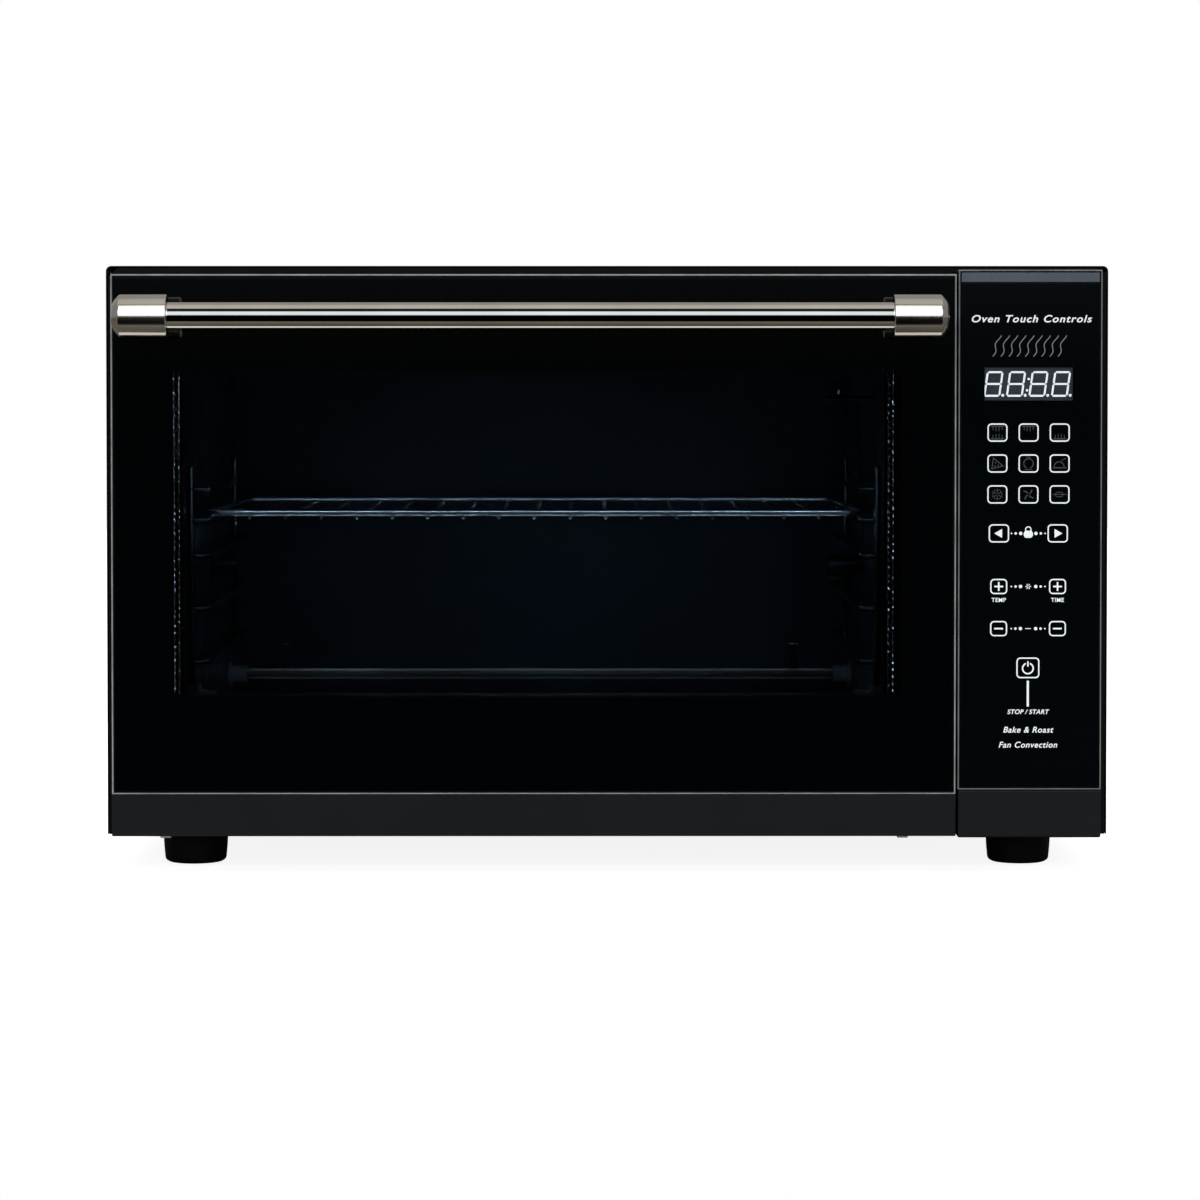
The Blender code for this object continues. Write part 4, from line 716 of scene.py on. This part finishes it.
def make_inner_glints(gasket, rack, guides, heaters):
    """Narrow strips above, below and beside the metal inside, which draw fine lines on it."""
    low, high = span("wire_rack")
    rod = Vector((centre_x, rack_front + ROD_RADIUS, high.z - ROD_RADIUS))
    low, high = span("lower_rear_heater")
    heater = Vector((centre_x, (low.y + high.y) / 2, low.z + HEATER_AXIS))
    # name, the point it is aimed at, the way from there to the light, its breadth, power and pieces
    strips = (
        ("rack_upper_glint", rod, (0, -0.012, 0.094), 0.006, 2.0, [rack]),
        ("rack_lower_glint", rod, (0, -0.014, -0.120), 0.006, 1.1, [rack]),
        ("heater_upper_glint", heater, (0, 0.010, 0.060), 0.008, 0.07, heaters),
        ("heater_lower_glint", heater, (0, 0.004, -0.018), 0.005, 0.005, heaters),
    )
    for name, target, away, breadth, power, pieces in strips:
        glint(name, target + Vector(away), target, (INNER_LENGTH, breadth), power, INNER_TONE, pieces)
    above = Vector((centre_x, rack_front + 0.02, liner_high.z - 0.014))
    glint("guide_glint", above, above - Vector((0, -0.05, 0.2)), (0.05, 0.05), 0.05, INNER_TONE, guides)
    middle_y, middle_z = (seal_low.y + seal_high.y) / 2, (seal_low.z + seal_high.z) / 2
    radius = (seal_high.y - seal_low.y) / 2
    for side, x, inward in (("left", seal_low.x + radius, 1), ("right", seal_high.x - radius, -1)):
        target = Vector((x, middle_y, middle_z))
        inner = target + Vector((inward * 0.040, 0.006, 0))
        outer = target + Vector((-inward * 0.014, 0.0005, 0))
        glint(f"gasket_{side}_inner_glint", inner, target, SEAL_STRIP, 0.09, INNER_TONE, [gasket])
        glint(f"gasket_{side}_outer_glint", outer, target, SEAL_STRIP, 0.03, INNER_TONE, [gasket])


bpy.context.scene.view_settings.view_transform = "Standard"


# ---------------------------------------------------------------- cabinet

dressed("outer_cover", "enamel", 0.0004, 3)
dressed("rear_cover", "enamel", 0.0004)
dressed("front_frame", "inner_black", 0.0003)
dressed("base_pan", "zinc", 0.0003)
for side in ("left", "right"):
    dressed(f"rear_{side}_spacer", "black_plastic", 0.0005)
    dressed(f"{side}_hinge_bracket", "bracket", 0.0003)
    for end in ("front", "rear"):
        low, high = span(f"{end}_{side}_foot")
        centre = (low + high) / 2
        radius = (high.x - low.x) / 2
        tall = high.z
        profile = [(0, radius * 0.35), (0, radius - 0.0036), (0.0016, radius - 0.0012)]
        profile += [(tall * 0.5, radius - 0.0005), (tall, radius)]
        bm = bmesh.new()
        add_turned(bm, (centre.x, centre.y, 0), 2, softened(profile, 0.0012))
        new_piece(f"{end}_{side}_foot_shown", bm, "rubber", "cabinet", "rubber", (f"{end}_{side}_foot",))

# ---------------------------------------------------------------- door

dressed("door_frame", "door_edge", 0.0004, 3)
dressed("door_glass", "door_glass", 0.0003)
dressed("door_inner_panel", "inner_black", 0.0003)
dressed("door_inner_glass", "pane", 0.0003)
dressed("door_rail", "satin", 0.0006, 3)
for side in ("left", "right"):
    for node in (f"{side}_hinge_pin", f"{side}_door_spring", f"{side}_handle_screw"):
        dressed(node, "nickel", 0.0002)


def make_handle():
    """The bar, its two end caps, and the necks that carry them on the door."""
    low, high = span("handle_bar")
    centre = (low + high) / 2
    radius = (high.z - low.z) / 2
    half = (high.x - low.x) / 2
    inner = radius - BAR_WALL
    bm = bmesh.new()
    tube = [(-half, inner), (-half, radius), (half, radius), (half, inner)]
    add_turned(bm, centre, 0, tube, SEGMENTS, closed=True)
    bar = new_piece("handle_bar_shown", bm, "nickel", "door", "polished_steel", ("handle_bar",))
    caps = []
    for side, sign in (("left", -1), ("right", 1)):
        node = f"{side}_handle_cap"
        low, high = span(node)
        wide = (high.z - low.z) / 2
        axis_y = low.y + wide
        axis_z = (low.z + high.z) / 2
        mouth = high.x if sign < 0 else low.x
        length = high.x - low.x
        bore = radius + FIT
        profile = [(0.010, bore), (0, bore), (0, wide - 0.0003), (0.0003, wide)]
        profile += [(length - 0.0042, wide), (length - 0.0012, wide - 0.0034)]
        profile += [(length, wide - 0.0056), (length, wide * 0.2)]
        bm = bmesh.new()
        add_turned(bm, (mouth, axis_y, axis_z), 0, softened([(sign * a, r) for a, r in profile], 0.0007))
        caps.append(new_piece(node + "_shown", bm, "nickel_painted_shade", "door", "polished_steel", (node,)))
        length = high.y - axis_y
        neck = [(0.005, NECK_RADIUS), (length - 0.0022, NECK_RADIUS)]
        neck += [(length - 0.0004, NECK_FOOT), (length, NECK_FOOT)]
        place = (middle(f"{side}_handle_screw").x, axis_y, axis_z)
        bm = bmesh.new()
        add_turned(bm, place, 1, softened(neck, 0.0009))
        new_piece(f"{side}_handle_neck", bm, "nickel_painted_shade", "door", "polished_steel")
    make_handle_glints(bar, caps)


make_handle()

# ---------------------------------------------------------------- control panel

dressed("control_housing", "panel_edge", 0.0004, 3)
dressed("touch_glass", "panel_glass", 0.0003)
dressed("panel_strip", "strip", 0.0003)
dressed("panel_rail", "satin", 0.0012, 4)
dressed("display_module", "filter", 0.0003)
for node in ("control_board", "power_board"):
    dressed(node, "board", 0.0001, 1)
dressed("transformer", "steel", 0.0004)

panel_x = (display_low.x + display_high.x) / 2
print_y = span("touch_glass")[0].y


def add_plate(bm, outline, y=print_y):
    """A thin flat plate with this (x, z) outline, standing on the surface at y."""
    front = [bm.verts.new((x, y - PRINT_THICKNESS, z)) for x, z in outline]
    back = [bm.verts.new((x, y, z)) for x, z in outline]
    bm.faces.new(front)
    bm.faces.new(back[::-1])
    add_band(bm, back, front)


def add_stroke(bm, points, width, closed=False, y=print_y):
    """A line of this width along (x, z) points, with mitred corners."""
    points = [Vector(p) for p in points]
    count = len(points)
    sides = ([], [])
    for i, point in enumerate(points):
        before = point - points[i - 1] if closed or i else points[1] - point
        after = points[(i + 1) % count] - point if closed or i < count - 1 else before
        before, after = before.normalized(), after.normalized()
        across = Vector((-(before.y + after.y), before.x + after.x)).normalized()
        reach = width / 2 / max(0.35, across.dot(Vector((-before.y, before.x))))
        for side, sign in zip(sides, (1, -1)):
            side.append(point + across * reach * sign)
    rows = []
    for left, right in zip(*sides):
        face = y - PRINT_THICKNESS
        at = [(left, face), (right, face), (right, y), (left, y)]
        rows.append([bm.verts.new((p.x, depth, p.y)) for p, depth in at])
    pairs = list(zip(rows, rows[1:]))
    if closed:
        pairs.append((rows[-1], rows[0]))
    else:
        bm.faces.new(rows[0])
        bm.faces.new(rows[-1])
    for first, second in pairs:
        add_band(bm, first, second)


def round_box(x, z, width, height, radius, steps=5):
    """Outline of a rectangle with rounded corners."""
    outline = []
    for sx, sz, start in ((1, 1, 0), (-1, 1, 90), (-1, -1, 180), (1, -1, 270)):
        cx = x + sx * (width / 2 - radius)
        cz = z + sz * (height / 2 - radius)
        outline += arc(cx, cz, radius, start, start + 90, steps)
    return outline


def arc(x, z, radius, start, end, steps=14):
    angles = [math.radians(start + (end - start) * k / steps) for k in range(steps + 1)]
    return [(x + radius * math.cos(a), z + radius * math.sin(a)) for a in angles]


def around(x, z, *offsets):
    """Points this far from (x, z)."""
    return [(x + across, z + up) for across, up in offsets]


def add_line(bm, x, z, width, *offsets):
    """A line through the points this far from (x, z)."""
    add_stroke(bm, around(x, z, *offsets), width)


def spoke(x, z, degrees, inner, outer):
    """A line's two ends on a ray from (x, z)."""
    tilt = math.radians(degrees)
    return around(x, z, *[(r * math.cos(tilt), r * math.sin(tilt)) for r in (inner, outer)])


def add_key(bm, x, z, width, height):
    add_stroke(bm, round_box(x, z, width, height, KEY_CORNER), KEY_LINE, closed=True)


def add_dots(bm, x, z):
    """Dots that grow towards the middle, on both sides of it."""
    for sign in (-1, 1):
        for away, radius in ((0.0095, 0.00045), (0.0071, 0.0007), (0.0043, 0.00095)):
            add_plate(bm, arc(x + sign * away, z, radius, 0, 345, 23))


FIRST_ROW, ROW_PITCH, COLUMN_PITCH = 0.2493, 0.01745, 0.01755
ARROW_Z, PLUS_Z, MINUS_Z, POWER_Z = 0.1924, 0.1624, 0.1386, 0.1164
SIDE_KEY = 0.0166  # from the panel's middle to the arrow, plus and minus keys
KEY_CORNER = 0.0019
KEY_LINE = 0.00072
FUNCTION_KEY = (0.0106, 0.0096)
ARROW_KEY = (0.0108, 0.0096)
STEP_KEY = (0.0089, 0.0079)
POWER_KEY = (0.0123, 0.0110)
SIGN_REACH = 0.0025  # half the length of a plus or minus
SIGN_LINE = 0.0009
POWER_LINE = 0.0008


def make_print():
    """The bright outlines and signs of the touch panel."""
    bm = bmesh.new()
    for row in range(3):
        for column in (-1, 0, 1):
            add_key(bm, panel_x + column * COLUMN_PITCH, FIRST_ROW - row * ROW_PITCH, *FUNCTION_KEY)
    half = SIGN_LINE / 2
    for sign in (-1, 1):
        x = panel_x + sign * SIDE_KEY
        add_key(bm, x, ARROW_Z, *ARROW_KEY)
        tip, back = sign * 0.0026, -sign * 0.0018
        add_plate(bm, around(x, ARROW_Z, (tip, 0), (back, 0.0025), (back, -0.0025)))
        for z in (PLUS_Z, MINUS_Z):
            add_key(bm, x, z, *STEP_KEY)
            add_line(bm, x, z, SIGN_LINE, (-SIGN_REACH, 0), (SIGN_REACH, 0))
        for low, high in ((half, SIGN_REACH), (-SIGN_REACH, -half)):
            add_plate(bm, around(x, PLUS_Z, (-half, low), (half, low), (half, high), (-half, high)))
    for z in (ARROW_Z, PLUS_Z, MINUS_Z):
        add_dots(bm, panel_x, z)
    add_plate(bm, round_box(panel_x, ARROW_Z - 0.0005, 0.0052, 0.0040, 0.0017))
    shackle = arc(panel_x, ARROW_Z + 0.0022, 0.0015, 180, 0)
    foot = ARROW_Z + 0.0012
    add_stroke(bm, [(panel_x - 0.0015, foot), *shackle, (panel_x + 0.0015, foot)], 0.0006)
    for k in range(3):
        for turn in (180, 0):
            add_stroke(bm, spoke(panel_x, PLUS_Z, 60 * k + turn, 0.0005, 0.0016), 0.00045)
    add_line(bm, panel_x, MINUS_Z, 0.0004, (-0.0016, 0), (0.0016, 0))
    add_key(bm, panel_x, POWER_Z, *POWER_KEY)
    add_stroke(bm, arc(panel_x, POWER_Z - 0.0003, 0.0030, 112, 428, 28), POWER_LINE)
    add_line(bm, panel_x, POWER_Z, POWER_LINE, (0, 0.0007), (0, 0.0037))
    add_stroke(bm, [(panel_x, 0.1091), (panel_x, 0.0945)], 0.0012)
    new_piece("panel_print", bm, "print", "cabinet")


def make_waves():
    """A row of slanted heat waves above the display."""
    bm = bmesh.new()
    low_z, tall, pitch, steps = 0.2922, 0.0118, 0.0046, 18
    for k in range(9):
        wave = []
        for i in range(steps + 1):
            t = i / steps
            sway = 0.0009 * math.sin(t * math.tau * 1.25)
            wave.append((panel_x + (k - 4) * pitch + sway + 0.004 * (t - 0.5), low_z + tall * t))
        add_stroke(bm, wave, 0.00045)
    new_piece("panel_waves", bm, "dim_print", "cabinet")


def make_key_icons():
    """Faint symbols inside the nine keys."""
    bm = bmesh.new()
    line = 0.00035

    def at(row, column):
        return panel_x + (column - 1) * COLUMN_PITCH, FIRST_ROW - row * ROW_PITCH

    for column, wanted in enumerate(((1, -1), (1,), (-1,))):
        x, z = at(0, column)
        for sign in wanted:
            add_line(bm, x, z, line * 1.6, (-0.0038, sign * 0.0036), (0.0038, sign * 0.0036))
            for k in (-1.5, -0.5, 0.5, 1.5):
                tip = 0.0014 if abs(k) > 1 else 0.0008
                add_line(bm, x, z, line, (k * 0.0017, sign * 0.0032), (k * 0.0017, sign * tip))
    x, z = at(1, 0)
    slice_of_pizza = around(x, z, (-0.0022, 0.0030), (0.0032, -0.0014), (-0.0032, -0.0030))
    add_stroke(bm, slice_of_pizza, line * 1.4, closed=True)
    for spot in around(x, z, (-0.0010, 0.0004), (0.0004, -0.0010), (-0.0014, -0.0015)):
        add_plate(bm, arc(*spot, 0.0004, 0, 330, 11))
    x, z = at(1, 1)
    add_stroke(bm, arc(x, z, 0.0027, 250, -70, 20), line * 1.4)
    add_line(bm, x, z, line, (-0.0022, -0.0033), (0.0022, -0.0033))
    add_stroke(bm, arc(x, z + 0.0027, 0.0011, 160, 20, 8), line)
    x, z = at(1, 2)
    add_stroke(bm, arc(x - 0.0003, z - 0.0018, 0.0028, 180, 0, 14), line * 1.4)
    add_line(bm, x, z, line * 1.6, (-0.0038, -0.0024), (0.0038, -0.0024))
    add_line(bm, x, z, line, (0.0008, 0.0016), (0.0036, 0.0030))
    x, z = at(2, 0)
    for k in range(6):
        degrees = 60 * k + 30
        add_stroke(bm, spoke(x, z, degrees, 0.0006, 0.0033), line)
        tilt = math.radians(degrees)
        for turn in (-0.5, 0.5):
            start = (0.0021 * math.cos(tilt), 0.0021 * math.sin(tilt))
            end = (0.0030 * math.cos(tilt + turn), 0.0030 * math.sin(tilt + turn))
            add_line(bm, x, z, line * 0.7, start, end)
    x, z = at(2, 1)
    for k in range(4):
        tilt = math.radians(90 * k + 20)
        curl = []
        for r in (0.0006, 0.0016, 0.0026, 0.0034):
            turned = tilt + r * 180
            curl.append((r * math.cos(turned), r * math.sin(turned)))
        add_line(bm, x, z, line * 1.8, *curl)
    x, z = at(2, 2)
    add_line(bm, x, z, line, (-0.0040, 0), (0.0040, 0))
    fish = round_box(x - 0.0002, z, 0.0042, 0.0026, 0.0012, 3)
    add_stroke(bm, fish, line, closed=True, y=print_y - PRINT_THICKNESS)
    new_piece("key_icons", bm, "faint_print", "cabinet")


def make_digits():
    """Four slanted seven-segment digits with points and a colon, on the display's face."""
    low, high = span("display_module")
    y = low.y
    centre = ((low.x + high.x) / 2, (low.z + high.z) / 2)
    tall, wide, bar, slant = 0.0144, 0.0084, 0.0011, 0.14
    bm = bmesh.new()

    def lean(x, z):
        return (centre[0] + x + slant * z, centre[1] + z)

    def segment(x0, z0, x1, z1):
        along = Vector((x1 - x0, z1 - z0))
        unit = along.normalized()
        across = Vector((-unit.y, unit.x)) * bar / 2
        a, b = Vector((x0, z0)) + unit * 0.00015, Vector((x1, z1)) - unit * 0.00015
        tip = unit * bar / 2
        points = [a, a + tip + across, b - tip + across, b, b - tip - across, a + tip - across]
        add_plate(bm, [lean(p.x, p.y) for p in points], y)

    for k in range(4):
        x = (k - 1.5) * 0.0127 - 0.0006
        left, right = x - wide / 2, x + wide / 2
        top, bottom = tall / 2 - bar / 2, -tall / 2 + bar / 2
        for level in (top, 0, bottom):
            segment(left, level, right, level)
        for start, end in ((0, top), (bottom, 0)):
            for side in (left, right):
                segment(side, start, side, end)
        spot = lean(x + wide / 2 + 0.0019, -tall / 2 + 0.0008)
        add_plate(bm, arc(*spot, 0.0008, 0, 340, 17), y)
    for z in (0.0028, -0.0036):
        spot = lean(-0.0002, z)
        add_plate(bm, arc(*spot, 0.0007, 0, 340, 17), y)
    new_piece("display_digits", bm, "digit", "cabinet")


def label(name, words, aside, z, height, slant, spacing, heavy, stretch):
    """A function word printed on the glass."""
    data = bpy.data.curves.new(name, "FONT")
    data.body = words
    data.size = height / 0.72
    data.shear = slant
    data.space_character = spacing
    data.offset = heavy
    data.align_x = "CENTER"
    data.align_y = "CENTER"
    data.extrude = PRINT_THICKNESS / 2
    data.materials.append(FINISH["print"])
    piece = bpy.data.objects.new(name, data)
    bpy.context.scene.collection.objects.link(piece)
    piece.rotation_euler = (math.radians(90), 0, 0)
    piece.scale = (stretch, 1, 1)
    piece.location = (panel_x + aside, print_y - PRINT_THICKNESS / 2, z)
    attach(piece, "cabinet")


# name, words, right of the panel's middle, height, letter height, slant, spacing, weight, stretch
LABELS = (
    ("heading_label", "Oven Touch Controls", 0.0011, 0.3132, 0.0041, 0.25, 1.16, 0.00010, 1.14),
    ("temperature_label", "TEMP", -SIDE_KEY, 0.1547, 0.0023, 0.0, 1.1, 0.00006, 1.0),
    ("time_label", "TIME", SIDE_KEY, 0.1547, 0.0023, 0.0, 1.1, 0.00006, 1.0),
    ("start_label", "STOP / START", 0.0, 0.0914, 0.0026, 0.2, 1.05, 0.00006, 1.0),
    ("mode_label", "Bake & Roast", 0.0, 0.0812, 0.0034, 0.25, 1.1, 0.00006, 1.0),
    ("fan_label", "Fan Convection", 0.0, 0.0727, 0.0034, 0.25, 1.1, 0.00006, 1.0),
)

make_print()
make_waves()
make_key_icons()
make_digits()
for row in LABELS:
    label(*row)

# ---------------------------------------------------------------- cavity

dressed("oven_liner", "oven", 0.0002, 1)
dressed("crumb_tray", "zinc", 0.0003)
dressed("fan_grille", "oven", 0.0002)
dressed("fan_housing", "zinc", 0.0003)
for node in ("lamp_lens", "lamp_bulb"):
    dressed(node, "lamp_glass", 0.0)
dressed("lamp_holder", "ceramic", 0.0003)
dressed("temperature_probe", "nickel", 0.0002)
for node in ("convection_blade", "cooling_blade"):
    dressed(node, "zinc", 0.0002, 1)
for node in ("fan_shaft", "fan_motor", "spit_motor", "thermal_cutout"):
    dressed(node, "steel", 0.0003)
for node in ("spit_coupling", "spit_rest"):
    dressed(node, "steel_painted_shade", 0.0005)
dressed("cord_gland", "rubber", 0.0004)


def make_gasket():
    """The braided seal round the cavity's mouth, with its spiral of strands."""
    low, high = seal_low, seal_high
    radius = (high.y - low.y) / 2
    y = (low.y + high.y) / 2
    corners = [
        (low.x + radius, y, low.z + radius),
        (high.x - radius, y, low.z + radius),
        (high.x - radius, y, high.z - radius),
        (low.x + radius, y, high.z - radius),
    ]
    path = bent(corners, 0.006, 6, closed=True)
    dense = []
    step = 0.0007
    for i, point in enumerate(path):
        after = path[(i + 1) % len(path)]
        parts = max(1, round((after - point).length / step))
        dense += [point.lerp(after, k / parts) for k in range(parts)]
    sides, strands, per_turn = 18, 3, 17

    def reach(row, side):
        """Rounded strands with creases between them."""
        turn = math.tau * strands * (row / per_turn + side / sides)
        return radius * (0.58 + 0.42 * abs(math.sin(turn / 2)))

    bm = bmesh.new()
    add_tube(bm, dense, radius, sides, closed=True, radius_of=reach)
    return new_piece("gasket_braid", bm, "braid", "cabinet", "glass_fibre", ("door_gasket",), smooth=80)


def make_rack():
    """Rod frame, with wires welded below it that end in round tips."""
    low, high = span("wire_rack")
    rod, wire = ROD_RADIUS, 0.0013
    z = high.z - rod
    x0, x1, y0, y1 = low.x + rod, high.x - rod, low.y + rod, high.y - rod
    bm = bmesh.new()
    corners = [(x0, y0, z), (x1, y0, z), (x1, y1, z), (x0, y1, z)]
    add_tube(bm, bent(corners, 0.010, 8, closed=True), rod, 12, closed=True)
    count, pitch = 17, 0.0206
    for i in range(count):
        x = (x0 + x1) / 2 + (i - (count - 1) / 2) * pitch
        add_tube(bm, [(x, low.y + wire, low.z + wire), (x, high.y - wire, low.z + wire)], wire, 16)
    return new_piece("wire_rack_shown", bm, "chrome", "rack", "chrome_wire", ("wire_rack",))


def make_guides():
    """Two ladders of wire on the cavity's side walls, with five levels for the rack."""
    guides = []
    for side in ("left", "right"):
        node = f"{side}_rack_guide"
        low, high = span(node)
        radius = 0.002
        wall = low.x + radius if side == "left" else high.x - radius
        inner = high.x - radius if side == "left" else low.x + radius
        front, rear = low.y + radius, high.y - radius
        bm = bmesh.new()
        for y in (front, rear):
            add_tube(bm, [(wall, y, low.z + radius), (wall, y, high.z - radius)], radius, 12)
        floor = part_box("crumb_tray")[0][2] - 0.0003
        for level in (0.0526, 0.0832, 0.1136, 0.1341, 0.1520):
            z = floor + level
            path = bent([(wall, front, z), (inner, front, z), (inner, rear, z), (wall, rear, z)], 0.005, 6)
            add_tube(bm, path, radius, 12)
        guides.append(new_piece(node + "_shown", bm, "guide_wire_painted_shade", "cabinet", "chrome_wire", (node,)))
    return guides


def make_clips(axis, top):
    """Bright strips that stand on the lower rear heater, with their tops bent forwards."""
    wide, sheet, foot, apart = 0.0060, 0.0008, 0.0040, 0.163
    clips = []
    for side, sign in (("left", -1), ("right", 1)):
        x = axis.x + sign * apart
        outline = [
            (axis.y + sheet, axis.z),
            (axis.y + sheet, top),
            (axis.y - foot, top),
            (axis.y - foot, top - sheet),
            (axis.y, top - sheet),
            (axis.y, axis.z),
        ]
        bm = bmesh.new()
        rows = []
        for edge in (x - wide / 2, x + wide / 2):
            rows.append([bm.verts.new((edge, y, z)) for y, z in outline])
        bm.faces.new(rows[0])
        bm.faces.new(rows[1][::-1])
        add_band(bm, rows[1], rows[0])
        clips.append(new_piece(f"{side}_heater_clip", bm, "chrome", "cabinet", "heater_sheath", bevel=0.0003))
    return clips


def make_heaters():
    """Four sheathed rods with ceramic bushes and terminals. Gives back the rods and the clips."""
    bright = []
    for node in ("upper_front_heater", "upper_rear_heater", "lower_front_heater", "lower_rear_heater"):
        low, high = span(node)
        centre = (low + high) / 2
        half = (cavity_right - cavity_left) / 2
        height = low.z + HEATER_AXIS if node.startswith("lower") else centre.z
        axis = Vector((centre.x, low.y + HEATER_AXIS, height))
        reach = (high.x - low.x) / 2
        bm = bmesh.new()
        add_turned(bm, axis, 0, [(-half + 0.008, 0.0033), (half - 0.008, 0.0033)], 32)
        bright.append(new_piece(node + "_rod", bm, "sheath", "cabinet", "heater_sheath", (node,)))
        if node == "lower_rear_heater":
            bright += make_clips(axis, high.z)
        for side, sign in (("left", -1), ("right", 1)):
            bm = bmesh.new()
            profile = [(-0.012, 0.0034), (-0.012, BUSH_RADIUS), (-0.0025, BUSH_RADIUS)]
            profile += [(-0.0025, COLLAR_RADIUS), (-FIT, COLLAR_RADIUS), (-FIT, BUSH_RADIUS)]
            profile += [(0.009, BUSH_RADIUS), (0.009, 0.0016)]  # past the cavity's wall
            stations = [(sign * (half + along), radius) for along, radius in profile]
            add_turned(bm, axis, 0, softened(stations, 0.0004, 2), 32)
            new_piece(f"{node}_{side}_bush", bm, "ceramic", "cabinet", "ceramic")
            bm = bmesh.new()
            add_turned(bm, axis, 0, [(sign * (half + 0.0085), 0.0015), (sign * reach, 0.0015)], 16)
            new_piece(f"{node}_{side}_terminal", bm, "nickel", "cabinet", "heater_sheath")
    return bright


make_inner_glints(make_gasket(), make_rack(), make_guides(), make_heaters())

# ---------------------------------------------------------------- fasteners


def add_screw(bm, place, axis, sign):
    """A low domed head, standing on the surface at place."""
    radius = SCREW_RADIUS
    profile = [(0, radius), (0.0007, radius), (0.0014, radius * 0.86), (0.0019, radius * 0.5)]
    profile += [(0.0020, radius * 0.22)]
    add_turned(bm, place, axis, softened([(sign * a, r) for a, r in profile], 0.0002, 2), 24)


def make_screws():
    """Ten screws in the rear cover and six in the base."""
    rear_low, rear_high = span("rear_cover")
    bm = bmesh.new()
    for x in (rear_low.x + 0.012, rear_low.x + 0.19, rear_high.x - 0.19, rear_high.x - 0.012):
        for z in (rear_low.z + 0.010, rear_high.z - 0.010):
            add_screw(bm, (x, rear_high.y, z), 1, 1)
    for x in (rear_low.x + 0.012, rear_high.x - 0.012):
        add_screw(bm, (x, rear_high.y, (rear_low.z + rear_high.z) / 2), 1, 1)
    new_piece("rear_screws", bm, "steel", "cabinet")
    base_low, base_high = span("base_pan")
    bm = bmesh.new()
    for x in (base_low.x + 0.05, (base_low.x + base_high.x) / 2, base_high.x - 0.05):
        for y in (base_low.y + 0.016, base_high.y - 0.016):
            add_screw(bm, (x, y, base_low.z), 2, -1)
    new_piece("base_screws", bm, "steel", "cabinet")


make_screws()
